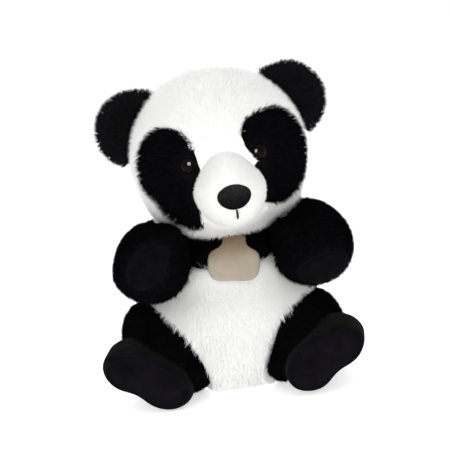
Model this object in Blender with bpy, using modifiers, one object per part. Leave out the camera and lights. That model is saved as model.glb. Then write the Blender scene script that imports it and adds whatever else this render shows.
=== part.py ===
"""A seated plush panda: sewn covers over stuffing and a pellet bag, with a head that turns and nods,
and arms, legs, ears and a hanging label that flex at their seams.

Frame: the origin is the middle of the flat seat, +Z is up, and the panda faces -Y, so that its own
left side is at +X. Every surface here is the woven backing of the cloth; the pile stands on it.
"""

import math

import bmesh
import bpy
from mathutils import Matrix, Vector

# ---- Driving dimensions, in metres and degrees ----

COVER = 0.003  # thickness of a sewn cover
GAP = 0.0003  # clearance between pieces that touch
FAR = 0.2  # reach of a cutter that only trims one side

# Torso: a turned bag, slightly flattened front to back, as (radius, height) from the neck down
TORSO_DEPTH = 0.93
TORSO_YAW = -6.0
TORSO_PROFILE = [
    (0.0228, 0.1132),
    (0.0310, 0.1120),
    (0.0390, 0.1070),
    (0.0445, 0.0990),
    (0.0480, 0.0905),
    (0.0497, 0.0830),
    (0.0530, 0.0755),
    (0.0580, 0.0650),
    (0.0610, 0.0500),
    (0.0610, 0.0330),
    (0.0580, 0.0180),
    (0.0500, 0.0060),
    (0.0400, 0.0000),
]
YOKE_SEAM_Z = 0.0955
PELLET_TOP_Z = 0.026
SEAT_RADIUS = 0.0376
TAIL_CENTRE = (0.0, 0.060, 0.026)
TAIL_RADII = (0.013, 0.010, 0.012)

# Neck: a stuffed ball that the head turns and nods on
NECK_CENTRE = (0.004, -0.004, 0.117)
NECK_RADIUS = 0.015
NECK_STEM_RADIUS = 0.012
NECK_BOTTOM_Z = 0.1070
NECK_CLEARANCE = 0.0012

# Head, in its own frame: origin at its middle, facing -Y
HEAD_CENTRE = (0.005, -0.006, 0.173)
HEAD_YAW = 3.5
HEAD_ROLL = -2.2
HEAD_RADII = (0.063, 0.0545, 0.060)
HEAD_BOTTOM_Z = 0.1185
NECK_HOLE_RADIUS = 0.019
MUZZLE_CENTRE = (0.0, -0.054, -0.0190)
MUZZLE_RADII = (0.0255, 0.030, 0.0268)
PATCH_CENTRE = (0.0385, -0.0320, -0.0065)
PATCH_YAW = 40.0
PATCH_TILT = 12.0
PATCH_HALF_WIDTH = 0.0285
PATCH_HALF_HEIGHT = 0.0355
PATCH_REACH = 0.02  # how far behind its centre the patch's outline starts
EYE_X = 0.0252
EYE_Z = 0.0010
EYE_RADIUS = 0.006
EYE_HEIGHT = 0.0042
SHANK_RADIUS = 0.002
SHANK_LENGTH = 0.010
WASHER_RADIUS = 0.008
WASHER_THICKNESS = 0.0015
EYE_WASHER_DEPTH = 0.0057
NOSE_WASHER_DEPTH = 0.0066
NOSE_RADII = (0.0115, 0.0060, 0.0088)
NOSE_Z = -0.0215
NOSE_WIDENING = 0.22  # how much wider the top of the nose is than its middle
NOSE_STANDS_OUT = 0.0010
STITCH_TOP_Z = -0.0315
STITCH_LENGTH = 0.006
STITCH_RADIUS = 0.0008
EAR_CENTRE = (0.0565, 0.005, 0.0285)
EAR_RADII = (0.0285, 0.0065, 0.0285)
EAR_CLEARANCE = 0.0028

# Arms: shoulder and paw centres of the left and right arm, and the plane where they are sewn on
ARM_RADIUS = 0.0265
SHOULDER = {"left": (0.060, 0.000, 0.102), "right": (-0.056, 0.000, 0.102)}
PAW = {"left": (0.061, -0.048, 0.1000), "right": (-0.0545, -0.050, 0.1060)}
PAW_PAD_AIM = {"left": (0.20, -0.86, -0.48), "right": (-0.03, -0.98, 0.16)}
PAW_PAD_ROLL = {"left": 20.0, "right": 45.0}
PAW_PAD_RADII = (0.0175, 0.0125)
PAW_PAD_START = 0.006  # how far in front of the paw's centre the pad's outline begins
ARM_PLANE_X = 0.050
ARM_FRONT_Y = -0.037
ARM_PLANE_BOTTOM_Z = 0.0745

# Legs, in the torso's frame: mirrored, sewn on at a plane that faces outward and forward
HIP = (0.0490, 0.000, 0.0365)
HIP_RADIUS = 0.0345
ANKLE = (0.0510, -0.034, 0.0295)
ANKLE_RADIUS = 0.0285
HIP_PLANE_TURN = 22.0
HIP_PLANE_DISTANCE = 0.0455
HIP_PLANE_TOP_Z = 0.073
FOOT_CENTRE = (0.0630, -0.046, 0.0240)
FOOT_HALF_LENGTH = 0.0350
FOOT_HALF_HEIGHT = 0.0172
FOOT_HALF_DEPTH = 0.030
FOOT_ROLL = 31.0
FOOT_INSTEP = 0.42
SOLE_Y = -0.067

# Hanging label: hinged at its top edge, lying on the chest
LABEL_TOP = (0.0075, -0.0335, 0.1155)
LABEL_LEAN = 35.0
LABEL_ROLL = 9.0
LABEL_THICKNESS = 0.0016
LABEL_OUTLINE = [
    (0.0000, 0.0000),
    (0.0075, 0.0000),
    (0.0095, -0.0080),
    (0.0180, -0.0150),
    (0.0175, -0.0290),
    (0.0115, -0.0345),
    (0.0000, -0.0350),
]

# Facets round the turned and rounded pieces
SMALL_BALL = (14, 8)  # segments round, and rings from pole to pole
HEAD_BALL = (20, 12)
TORSO_SEGMENTS = 20

SIDES = {"left": 1, "right": -1}


# ---- Scene and materials ----


def clear_scene():
    for ob in list(bpy.data.objects):
        bpy.data.objects.remove(ob, do_unlink=True)


def collection(name):
    group = bpy.data.collections.new(name)
    bpy.context.scene.collection.children.link(group)
    return group


def material(name, color, roughness):
    made = bpy.data.materials.new(name)
    made.use_nodes = True
    shader = made.node_tree.nodes["Principled BSDF"]
    shader.inputs["Base Color"].default_value = (*color, 1.0)
    shader.inputs["Roughness"].default_value = roughness
    shader.inputs["Metallic"].default_value = 0.0
    made.diffuse_color = (*color, 1.0)
    return made


clear_scene()
PANDA = collection("plush_panda")
CUTTERS = collection("cutters")
WHITE_PILE = material("white_pile", (0.90, 0.89, 0.86), 0.95)
SHORT_WHITE_PILE = material("short_white_pile", (0.93, 0.93, 0.91), 0.95)
BLACK_PILE = material("black_pile", (0.012, 0.012, 0.014), 0.95)
BLACK_SUEDE = material("black_suede", (0.020, 0.019, 0.023), 0.90)
STUFFING = material("stuffing", (0.80, 0.80, 0.78), 1.0)
PELLETS = material("pellets", (0.60, 0.62, 0.64), 0.6)
EYE_PLASTIC = material("eye_plastic", (0.010, 0.008, 0.008), 0.08)
NOSE_FLOCK = material("nose_flock", (0.020, 0.020, 0.020), 0.85)
WASHER_PLASTIC = material("washer_plastic", (0.75, 0.75, 0.72), 0.45)
THREAD = material("thread", (0.010, 0.010, 0.010), 0.8)
LABEL_CLOTH = material("label_cloth", (0.42, 0.36, 0.28), 0.9)


def empty(name, place, turn=(0.0, 0.0, 0.0)):
    """A frame to build in; turn is degrees about X, Y and Z."""
    ob = bpy.data.objects.new(name, None)
    ob.location = place
    ob.rotation_euler = [math.radians(t) for t in turn]
    PANDA.objects.link(ob)
    return ob


def add(name, mesh, finish, parent=None):
    """A piece of the panda."""
    ob = bpy.data.objects.new(name, mesh)
    mesh.materials.append(finish)
    mesh.shade_smooth()
    ob.parent = parent
    PANDA.objects.link(ob)
    return ob


def hide(ob):
    ob.hide_render = True
    ob.display_type = "WIRE"
    CUTTERS.objects.link(ob)
    return ob


def cutter(mesh, parent=None):
    """A guide that other pieces are cut with, kept out of the model."""
    ob = bpy.data.objects.new("cutter_" + mesh.name, mesh)
    ob.parent = parent
    return hide(ob)


def apply_boolean(ob, operation, *tools):
    for tool in tools:
        modifier = ob.modifiers.new(operation.lower(), "BOOLEAN")
        modifier.operation = operation
        modifier.object = tool


def cut(ob, *tools):
    apply_boolean(ob, "DIFFERENCE", *tools)


def keep(ob, *tools):
    apply_boolean(ob, "INTERSECT", *tools)


def join(ob, *tools):
    apply_boolean(ob, "UNION", *tools)


# ---- Meshes ----


def finish_mesh(name, bm):
    bm.normal_update()
    mesh = bpy.data.meshes.new(name)
    bm.to_mesh(mesh)
    bm.free()
    return mesh


def ball(name, centre, radii, grow=0.0, facets=SMALL_BALL):
    """An ellipsoid, its radii changed by grow."""
    bm = bmesh.new()
    bmesh.ops.create_uvsphere(bm, u_segments=facets[0], v_segments=facets[1], radius=1.0)
    bmesh.ops.scale(bm, vec=[r + grow for r in radii], verts=bm.verts)
    bmesh.ops.translate(bm, vec=centre, verts=bm.verts)
    return finish_mesh(name, bm)


def capsule(name, start, end, start_radius, end_radius, grow=0.0):
    """A tapered, round-ended body from start to end: a sphere whose halves are moved apart."""
    start, end = Vector(start), Vector(end)
    axis = end - start
    bm = bmesh.new()
    bmesh.ops.create_uvsphere(bm, u_segments=SMALL_BALL[0], v_segments=SMALL_BALL[1], radius=1.0)
    for v in bm.verts:
        share = 0.5 + 0.5 * max(-1.0, min(1.0, v.co.z * 4.0))
        radius = start_radius + (end_radius - start_radius) * share + grow
        v.co = v.co * radius + Vector((0.0, 0.0, axis.length * share))
    bm.transform(Matrix.Translation(start) @ axis.to_track_quat("Z", "X").to_matrix().to_4x4())
    return finish_mesh(name, bm)


def box(name, low, high):
    """A block between two corners."""
    low, high = Vector(low), Vector(high)
    bm = bmesh.new()
    bmesh.ops.create_cube(bm, size=1.0)
    bmesh.ops.scale(bm, vec=high - low, verts=bm.verts)
    bmesh.ops.translate(bm, vec=(low + high) / 2, verts=bm.verts)
    return finish_mesh(name, bm)


def rod(name, radius, bottom, top, place=None, segments=12, squeeze=1.0):
    """A cylinder along its frame's Z; squeeze flattens it along Y."""
    bm = bmesh.new()
    bmesh.ops.create_cone(
        bm, cap_ends=True, segments=segments, radius1=radius, radius2=radius, depth=top - bottom
    )
    bmesh.ops.translate(bm, vec=(0.0, 0.0, (top + bottom) / 2), verts=bm.verts)
    bmesh.ops.scale(bm, vec=(1.0, squeeze, 1.0), verts=bm.verts)
    if place is not None:
        bm.transform(place)
    return finish_mesh(name, bm)


def profile_mesh(name, points):
    """An open line of (radius, height) points, to be turned about Z."""
    mesh = bpy.data.meshes.new(name)
    edges = [(n, n + 1) for n in range(len(points) - 1)]
    mesh.from_pydata([(r, 0.0, z) for r, z in points], edges, [])
    return mesh


def turn(ob, steps):
    """Turn an object's profile about Z."""
    screw = ob.modifiers.new("turn", "SCREW")
    screw.steps = steps
    screw.render_steps = steps
    screw.use_merge_vertices = True
    screw.merge_threshold = 0.00005


def inset(points, distance):
    """A profile moved inward by distance, square to itself at each point."""
    moved = []
    for n, (r, z) in enumerate(points):
        before = points[max(n - 1, 0)]
        after = points[min(n + 1, len(points) - 1)]
        along = Vector((after[0] - before[0], after[1] - before[1])).normalized()
        moved.append((r + along.y * distance, z - along.x * distance))
    return moved


def radius_at(points, height):
    """The radius of a falling profile at a height."""
    for (r0, z0), (r1, z1) in zip(points, points[1:], strict=False):
        if z1 <= height <= z0:
            return r0 + (r1 - r0) * (z0 - height) / (z0 - z1)
    return points[0][0] if height > points[0][1] else points[-1][0]


def slice_profile(points, top, bottom):
    """The closed profile of the slice of a turned body between two heights."""
    between = [(r, z) for r, z in points if bottom < z < top]
    upper = (radius_at(points, top), top)
    lower = (radius_at(points, bottom), bottom)
    return [(0.0, top), upper, *between, lower, (0.0, bottom)]


def aimed(place, direction, roll=0.0):
    """A frame at place whose Z runs along direction."""
    turned = Vector(direction).to_track_quat("Z", "Y").to_matrix().to_4x4()
    return Matrix.Translation(Vector(place)) @ turned @ Matrix.Rotation(math.radians(roll), 4, "Z")


def mirrored(point, side):
    return (point[0] * side, point[1], point[2])


# ---- Torso ----


def past_leg_plane(name, side, start, top):
    """The space outside the plane where a leg is sewn on, from start outward and up to top."""
    mesh = box(name, (start, -FAR, -FAR), (FAR, FAR, top))
    if side < 0:
        mesh.transform(Matrix.Diagonal((-1.0, 1.0, 1.0, 1.0)))
        mesh.flip_normals()
    mesh.transform(Matrix.Rotation(math.radians(HIP_PLANE_TURN) * -side, 4, "Z"))
    return cutter(mesh, TORSO)


def torso_trims():
    """What is cut away from the torso where the arms and legs are sewn on."""
    trims = []
    for side in SIDES.values():
        trims.append(past_leg_plane(f"leg_plane_{side}", side, HIP_PLANE_DISTANCE, HIP_PLANE_TOP_Z))
        low = (ARM_PLANE_X - GAP, -FAR, ARM_PLANE_BOTTOM_Z)
        high = (FAR, FAR, FAR)
        if side < 0:
            low, high = (-FAR, -FAR, ARM_PLANE_BOTTOM_Z), (GAP - ARM_PLANE_X, FAR, FAR)
        trims.append(cutter(box(f"arm_plane_{side}", low, high)))
    return trims


def turn_torso(ob):
    turn(ob, TORSO_SEGMENTS)
    ob.scale = (1.0, TORSO_DEPTH, 1.0)


def torso_solid(name, points, finish):
    ob = add(name, profile_mesh(name, points), finish, TORSO)
    turn_torso(ob)
    return ob


def torso_panel(name, front, upper, trims, finish):
    """One sewn panel of the torso: front or back, and above or below the yoke's seam."""
    ob = torso_solid(name, TORSO_PROFILE, finish)
    wall = ob.modifiers.new("wall", "SOLIDIFY")
    wall.thickness = COVER
    wall.offset = -1.0
    low_y, high_y = (-FAR, -GAP / 2) if front else (GAP / 2, FAR)
    low_z, high_z = (YOKE_SEAM_Z + GAP / 2, FAR) if upper else (-FAR, YOKE_SEAM_Z - GAP / 2)
    keep(ob, cutter(box(name, (-FAR, low_y, low_z), (FAR, high_y, high_z)), TORSO))
    cut(ob, *trims)


def build_torso():
    trims = torso_trims()
    torso_panel("belly_panel", True, False, trims, WHITE_PILE)
    torso_panel("back_panel", False, False, trims, WHITE_PILE)
    torso_panel("chest_yoke", True, True, trims, BLACK_PILE)
    torso_panel("shoulder_yoke", False, True, trims, BLACK_PILE)
    seat = rod("seat_panel", SEAT_RADIUS, 0.0, COVER, segments=20, squeeze=TORSO_DEPTH)
    add("seat_panel", seat, WHITE_PILE, TORSO)

    inner = inset(TORSO_PROFILE, COVER + GAP)
    top_z = NECK_BOTTOM_Z - GAP
    stuffing = slice_profile(inner, top_z, PELLET_TOP_Z + GAP)
    cut(torso_solid("torso_stuffing", stuffing, STUFFING), *trims)
    bag = slice_profile(inner, PELLET_TOP_Z, COVER + GAP)
    cut(torso_solid("pellet_bag", bag, PELLETS), *trims)

    tail = add("tail", ball("tail", TAIL_CENTRE, TAIL_RADII), WHITE_PILE, TORSO)
    grown = [(0.0, TORSO_PROFILE[0][1])] + inset(TORSO_PROFILE, -GAP) + [(0.0, 0.0)]
    around = cutter(profile_mesh("around_torso", grown), TORSO)
    turn_torso(around)
    cut(tail, around)


# ---- Head ----


def head_ball(name, grow=0.0):
    return ball(name, (0.0, 0.0, 0.0), HEAD_RADII, grow, HEAD_BALL)


def muzzle_ball(name, grow=0.0):
    return ball(name, MUZZLE_CENTRE, MUZZLE_RADII, grow)


def head_surface(x, z):
    """The point of the head's front surface at x and z, and the way it faces."""
    a, b, c = HEAD_RADII
    y = -b * math.sqrt(1.0 - (x / a) ** 2 - (z / c) ** 2)
    return Vector((x, y, z)), Vector((x / a**2, y / b**2, z / c**2)).normalized()


def patch_prism(side, grow):
    """The elliptical outline of an eye patch, pushed through the face."""
    yaw = math.radians(PATCH_YAW)
    aim = (math.sin(yaw) * side, -math.cos(yaw), 0.0)
    squeeze = (PATCH_HALF_WIDTH + grow) / (PATCH_HALF_HEIGHT + grow)
    upright = aimed(mirrored(PATCH_CENTRE, side), aim, PATCH_TILT * side)
    lying = upright @ Matrix.Rotation(math.radians(90), 4, "Z")
    return rod(f"patch_{side}", PATCH_HALF_HEIGHT + grow, -PATCH_REACH, FAR, lying, 24, squeeze)


def washer(name, place, depth):
    """A locking washer on a shank, its near face depth below the frame's origin."""
    mesh = rod(name, WASHER_RADIUS, -depth - WASHER_THICKNESS, -depth, place)
    ob = add(name, mesh, WASHER_PLASTIC, HEAD)
    bore = rod(name + "_bore", SHANK_RADIUS + GAP, -FAR, FAR, place)
    cut(ob, cutter(bore, HEAD))
    pocket = rod(name + "_pocket", WASHER_RADIUS + GAP, -depth - WASHER_THICKNESS - GAP, 0.0, place)
    return cutter(pocket, HEAD)


def shank_hole(name, place):
    return cutter(rod(name, SHANK_RADIUS + GAP, -SHANK_LENGTH - COVER, COVER, place), HEAD)


def build_eye(word, side):
    """A plastic eye with its shank, and the cutters that make room for it."""
    point, normal = head_surface(EYE_X * side, EYE_Z)
    place = aimed(point + normal * GAP, normal)
    dome = [
        (0.0, EYE_HEIGHT),
        (EYE_RADIUS * 0.40, EYE_HEIGHT * 0.93),
        (EYE_RADIUS * 0.75, EYE_HEIGHT * 0.66),
        (EYE_RADIUS * 0.95, EYE_HEIGHT * 0.30),
        (EYE_RADIUS, 0.0),
        (SHANK_RADIUS, 0.0),
        (SHANK_RADIUS, -SHANK_LENGTH),
        (0.0, -SHANK_LENGTH),
    ]
    eye = add(f"eye_{word}", profile_mesh(f"eye_{word}", dome), EYE_PLASTIC, HEAD)
    eye.matrix_local = place
    turn(eye, 14)
    pocket = washer(f"eye_washer_{word}", place, EYE_WASHER_DEPTH)
    return shank_hole(f"eye_hole_{word}", place), pocket


def build_nose():
    """The flocked nose with its shank, on the tip of the muzzle."""
    tip = Vector((0.0, MUZZLE_CENTRE[1] - MUZZLE_RADII[1], NOSE_Z))
    place = aimed(tip, (0.0, -1.0, 0.0))
    centre = tip - Vector((0.0, NOSE_STANDS_OUT, 0.0))
    mesh = ball("nose", (0.0, 0.0, 0.0), NOSE_RADII)
    for v in mesh.vertices:
        v.co.x *= 1.0 + NOSE_WIDENING * v.co.z / NOSE_RADII[2]
    mesh.transform(Matrix.Translation(centre))
    nose = add("nose", mesh, NOSE_FLOCK, HEAD)
    cut(nose, cutter(muzzle_ball("muzzle_around", GAP), HEAD))
    join(nose, cutter(rod("nose_shank", SHANK_RADIUS, -SHANK_LENGTH, 0.003, place), HEAD))
    pocket = washer("nose_washer", place, NOSE_WASHER_DEPTH)
    return shank_hole("nose_hole", place), pocket


def build_mouth_stitch():
    """The short upright stitch under the nose, lying on the muzzle."""
    a, b, c = MUZZLE_RADII
    drop = STITCH_TOP_Z - STITCH_LENGTH / 2 - MUZZLE_CENTRE[2]
    y = MUZZLE_CENTRE[1] - b * math.sqrt(1.0 - (drop / c) ** 2)
    normal = Vector((0.0, (y - MUZZLE_CENTRE[1]) / b**2, drop / c**2)).normalized()
    point = Vector((0.0, y, drop + MUZZLE_CENTRE[2])) + normal * (STITCH_RADIUS + GAP)
    along = normal.cross(Vector((1.0, 0.0, 0.0)))
    radii = (STITCH_RADIUS, STITCH_RADIUS, STITCH_LENGTH / 2)
    mesh = ball("mouth_stitch", (0.0, 0.0, 0.0), radii)
    mesh.transform(aimed(point, along))
    add("mouth_stitch", mesh, THREAD, HEAD)


def build_ear(word, side):
    """A front and a back panel of one ear, clear of the head so that the ear can fold."""
    head = cutter(head_ball(f"ear_base_{word}", EAR_CLEARANCE), HEAD)
    seam_y = EAR_CENTRE[1]
    halves = {"front": (-FAR, seam_y - GAP / 2), "back": (seam_y + GAP / 2, FAR)}
    for half, (low_y, high_y) in halves.items():
        name = f"ear_{half}_{word}"
        mesh = ball(name, mirrored(EAR_CENTRE, side), EAR_RADII)
        ob = add(name, mesh, BLACK_PILE, HEAD)
        keep(ob, cutter(box(name, (-FAR, low_y, -FAR), (FAR, high_y, FAR)), HEAD))
        cut(ob, head)


def neck_cutters():
    """The neck's hole through the cover, what lies below the head, and the room for the neck's ball."""
    place = Matrix.Translation((NECK_CENTRE[0], NECK_CENTRE[1], HEAD_BOTTOM_Z))
    hole = cutter(rod("neck_hole", NECK_HOLE_RADIUS, -FAR, HEAD_RADII[2] / 2, place))
    below = cutter(box("below_head", (-FAR, -FAR, 0.0), (FAR, FAR, HEAD_BOTTOM_Z)))
    below_fill = cutter(box("below_fill", (-FAR, -FAR, 0.0), (FAR, FAR, HEAD_BOTTOM_Z + COVER)))
    room = cutter(ball("neck_room", NECK_CENTRE, [NECK_RADIUS] * 3, NECK_CLEARANCE))
    return hole, below, below_fill, room


def build_head():
    muzzle_room = cutter(muzzle_ball("muzzle_room", GAP), HEAD)
    muzzle_inner = cutter(muzzle_ball("muzzle_inner", -COVER), HEAD)
    head_inner = cutter(head_ball("head_inner", -COVER), HEAD)
    neck_hole, below, below_fill, neck_room = neck_cutters()

    nose_hole, nose_pocket = build_nose()
    eyes = {word: build_eye(word, side) for word, side in SIDES.items()}
    build_mouth_stitch()

    cover = add("head_cover", head_ball("head_cover"), WHITE_PILE, HEAD)
    cut(cover, head_inner, muzzle_room, neck_hole, below)
    for word, side in SIDES.items():
        cut(cover, cutter(patch_prism(side, GAP / 2), HEAD))
        patch = add(f"eye_patch_{word}", head_ball(f"eye_patch_{word}"), BLACK_PILE, HEAD)
        keep(patch, cutter(patch_prism(side, -GAP / 2), HEAD))
        cut(patch, head_inner, muzzle_room, eyes[word][0])
        build_ear(word, side)

    muzzle = add("muzzle_cover", muzzle_ball("muzzle_cover"), SHORT_WHITE_PILE, HEAD)
    cut(muzzle, muzzle_inner, head_inner, nose_hole)

    fill = add("head_stuffing", head_ball("head_stuffing", -COVER - GAP), STUFFING, HEAD)
    join(fill, cutter(muzzle_ball("muzzle_fill", -COVER - GAP), HEAD))
    cut(fill, neck_room, nose_hole, nose_pocket, below_fill)
    for hole, pocket in eyes.values():
        cut(fill, hole, pocket)


def build_neck():
    """The stuffed neck: a ball on a short stem, turned about Z."""
    rise = math.sqrt(NECK_RADIUS**2 - NECK_STEM_RADIUS**2)
    lowest = math.asin(-rise / NECK_RADIUS)
    steps = 7
    angles = [math.pi / 2 + (lowest - math.pi / 2) * n / steps for n in range(steps + 1)]
    points = [(NECK_RADIUS * math.cos(a), NECK_RADIUS * math.sin(a)) for a in angles]
    points[0] = (0.0, NECK_RADIUS)
    bottom = NECK_BOTTOM_Z - NECK_CENTRE[2]
    points += [(NECK_STEM_RADIUS, bottom), (0.0, bottom)]
    neck = add("neck_core", profile_mesh("neck_core", points), STUFFING)
    neck.location = NECK_CENTRE
    turn(neck, 16)


# ---- Arms ----


def build_arm(word, side):
    start, end = SHOULDER[word], PAW[word]

    def arm(name, grow):
        return capsule(name, start, end, ARM_RADIUS, ARM_RADIUS, grow)

    def pad_prism(grow):
        place = aimed(end, PAW_PAD_AIM[word], PAW_PAD_ROLL[word])
        squeeze = (PAW_PAD_RADII[1] + grow) / (PAW_PAD_RADII[0] + grow)
        return rod(f"pad_{word}", PAW_PAD_RADII[0] + grow, PAW_PAD_START, FAR, place, 16, squeeze)

    low, high = (0.0, ARM_FRONT_Y, 0.0), (ARM_PLANE_X, FAR, FAR)
    if side < 0:
        low, high = (-ARM_PLANE_X, ARM_FRONT_Y, 0.0), (0.0, FAR, FAR)
    torso_side = cutter(box(f"torso_side_{word}", low, high))
    inner = cutter(arm(f"arm_inner_{word}", -COVER))

    cover = add(f"arm_cover_{word}", arm(f"arm_cover_{word}", 0.0), BLACK_PILE)
    cut(cover, inner, torso_side, cutter(pad_prism(GAP / 2)))
    pad = add(f"paw_pad_{word}", arm(f"paw_pad_{word}", 0.0), BLACK_SUEDE)
    keep(pad, cutter(pad_prism(-GAP / 2)))
    cut(pad, inner)
    cut(add(f"arm_stuffing_{word}", arm(f"arm_stuffing_{word}", -COVER - GAP), STUFFING), torso_side)


# ---- Legs ----


def foot(name, side, grow):
    """A foot's outer form: an oval that keeps its width towards the sole and rises over the instep."""
    bm = bmesh.new()
    bmesh.ops.create_uvsphere(bm, u_segments=18, v_segments=8, radius=1.0)
    for v in bm.verts:
        depth = v.co.z
        ring = math.hypot(v.co.x, v.co.y)
        square = (1.0 - depth**4) ** 0.25 / ring if ring > 0.0 else 0.0
        long, tall = v.co.x * square, v.co.y * square
        if tall > 0.0:
            tall *= 1.0 + FOOT_INSTEP * (0.5 + 0.5 * depth)
        v.co = (
            long * (FOOT_HALF_LENGTH + grow),
            depth * (FOOT_HALF_DEPTH + grow),
            tall * (FOOT_HALF_HEIGHT + grow),
        )
    bm.transform(Matrix.Rotation(math.radians(-FOOT_ROLL), 4, "Y"))
    bmesh.ops.reverse_faces(bm, faces=bm.faces)
    if side < 0:
        bm.transform(Matrix.Diagonal((-1.0, 1.0, 1.0, 1.0)))
        bmesh.ops.reverse_faces(bm, faces=bm.faces)
    bmesh.ops.translate(bm, vec=mirrored(FOOT_CENTRE, side), verts=bm.verts)
    return finish_mesh(name, bm)


def build_leg(word, side):
    hip, ankle = mirrored(HIP, side), mirrored(ANKLE, side)

    def thigh(name, grow):
        return capsule(name, hip, ankle, HIP_RADIUS, ANKLE_RADIUS, grow)

    def slab(name, low_y, high_y):
        return cutter(box(name, (-FAR, low_y, -FAR), (FAR, high_y, FAR)), TORSO)

    beyond = past_leg_plane(f"leg_side_{word}", side, HIP_PLANE_DISTANCE + GAP, FAR)
    thigh_inner = cutter(thigh(f"thigh_inner_{word}", -COVER), TORSO)
    foot_inner = cutter(foot(f"foot_inner_{word}", side, -COVER), TORSO)
    foot_room = cutter(foot(f"foot_room_{word}", side, GAP), TORSO)
    past_sole = slab(f"past_sole_{word}", -FAR, SOLE_Y + COVER)
    past_fill = slab(f"past_fill_{word}", -FAR, SOLE_Y + COVER + GAP)
    sole_layer = slab(f"sole_layer_{word}", SOLE_Y, SOLE_Y + COVER - GAP)

    cover = add(f"thigh_cover_{word}", thigh(f"thigh_cover_{word}", 0.0), BLACK_PILE, TORSO)
    cut(cover, thigh_inner, foot_room)
    keep(cover, beyond)

    upper = add(f"foot_cover_{word}", foot(f"foot_cover_{word}", side, 0.0), BLACK_SUEDE, TORSO)
    cut(upper, foot_inner, thigh_inner, past_sole)
    keep(upper, beyond)

    sole = add(f"sole_{word}", foot(f"sole_{word}", side, 0.0), BLACK_SUEDE, TORSO)
    keep(sole, sole_layer)

    fill = add(f"leg_stuffing_{word}", thigh(f"leg_stuffing_{word}", -COVER - GAP), STUFFING, TORSO)
    join(fill, cutter(foot(f"foot_fill_{word}", side, -COVER - GAP), TORSO))
    cut(fill, past_fill)
    keep(fill, beyond)


# ---- Label ----


def build_label():
    """The cloth label: a smooth outline, extruded, hanging from the neck's seam."""
    curve = bpy.data.curves.new("label", "CURVE")
    curve.dimensions = "2D"
    curve.fill_mode = "BOTH"
    curve.extrude = LABEL_THICKNESS / 2
    curve.resolution_u = 4
    half = LABEL_OUTLINE
    points = half + [(-x, y) for x, y in reversed(half[1:-1])]
    spline = curve.splines.new("BEZIER")
    spline.bezier_points.add(len(points) - 1)
    for point, (x, y) in zip(spline.bezier_points, points, strict=True):
        point.co = (x, y, 0.0)
        point.handle_left_type = "AUTO"
        point.handle_right_type = "AUTO"
    spline.use_cyclic_u = True
    outline = bpy.data.objects.new("label_outline", curve)
    CUTTERS.objects.link(outline)
    evaluated = outline.evaluated_get(bpy.context.evaluated_depsgraph_get())
    mesh = bpy.data.meshes.new_from_object(evaluated)
    bpy.data.objects.remove(outline)
    bm = bmesh.new()
    bm.from_mesh(mesh)
    bmesh.ops.remove_doubles(bm, verts=bm.verts, dist=0.00002)
    mesh = finish_mesh("label", bm)
    mesh.transform(Matrix.Rotation(math.radians(-LABEL_ROLL), 4, "Z"))
    mesh.transform(Matrix.Rotation(math.radians(90 - LABEL_LEAN), 4, "X"))
    mesh.transform(Matrix.Translation(LABEL_TOP))
    label = add("label", mesh, LABEL_CLOTH)
    label.data.set_sharp_from_angle(angle=math.radians(40))


TORSO = empty("torso_frame", (0.0, 0.0, 0.0), (0.0, 0.0, TORSO_YAW))
HEAD = empty("head_frame", HEAD_CENTRE, (0.0, HEAD_ROLL, HEAD_YAW))
build_torso()
build_neck()
build_head()
for side_word, side_sign in SIDES.items():
    build_arm(side_word, side_sign)
    build_leg(side_word, side_sign)
build_label()
bpy.context.view_layer.update()
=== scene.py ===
"""The looks of the seated plush panda: smooth sewn skins with a pile of tapered fibres growing on them.

Everything is in metres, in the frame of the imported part: +Z is up and the panda faces -Y. Each skin
stands for the covers and stuffing under it, and each pile rides on the same body as its skin.
"""

import math
from typing import NamedTuple

import bmesh
import bpy
import numpy as np
from mathutils import Matrix, Vector
from mathutils.kdtree import KDTree


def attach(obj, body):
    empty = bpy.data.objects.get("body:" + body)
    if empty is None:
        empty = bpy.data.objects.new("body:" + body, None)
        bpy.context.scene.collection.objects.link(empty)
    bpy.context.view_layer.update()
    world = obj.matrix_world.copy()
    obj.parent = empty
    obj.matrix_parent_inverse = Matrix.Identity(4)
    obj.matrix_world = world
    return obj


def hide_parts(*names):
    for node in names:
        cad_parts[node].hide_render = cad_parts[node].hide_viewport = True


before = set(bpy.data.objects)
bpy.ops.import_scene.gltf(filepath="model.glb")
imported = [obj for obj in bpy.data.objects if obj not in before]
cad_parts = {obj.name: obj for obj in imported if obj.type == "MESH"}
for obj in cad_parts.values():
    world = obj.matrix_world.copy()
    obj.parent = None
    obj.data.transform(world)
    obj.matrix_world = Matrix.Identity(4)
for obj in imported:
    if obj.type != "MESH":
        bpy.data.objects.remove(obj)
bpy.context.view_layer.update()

# ---- Dimensions that repeat the part's own, in metres and degrees ----

TORSO_YAW = -6.0
TORSO_DEPTH = 0.93
TORSO_PROFILE = [  # radii and heights, from the top down
    (0.0228, 0.1132), (0.031, 0.112), (0.039, 0.107), (0.0445, 0.099), (0.048, 0.0905),
    (0.0497, 0.083), (0.053, 0.0755), (0.058, 0.065), (0.061, 0.05), (0.061, 0.033),
    (0.058, 0.018), (0.05, 0.006), (0.04, 0.0),
]
YOKE_SEAM_Z = 0.0955
SEAT_RADIUS = 0.0376
TAIL_CENTRE = (0.0, 0.06, 0.026)
TAIL_RADII = (0.013, 0.01, 0.012)
NECK_CENTRE = (0.004, -0.004, 0.117)
NECK_RADIUS = 0.015
HEAD_CENTRE = (0.005, -0.006, 0.173)
HEAD_YAW = 3.5
HEAD_ROLL = -2.2
HEAD_RADII = np.array([0.063, 0.0545, 0.06])
HEAD_BOTTOM_Z = 0.1185
MUZZLE_CENTRE = np.array([0.0, -0.054, -0.019])
MUZZLE_RADII = np.array([0.0255, 0.03, 0.0268])
MUZZLE_FRONT_Y = MUZZLE_CENTRE[1] - MUZZLE_RADII[1]
JAW_FILL = np.array([0.0, -0.0045, -0.001])
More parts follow.
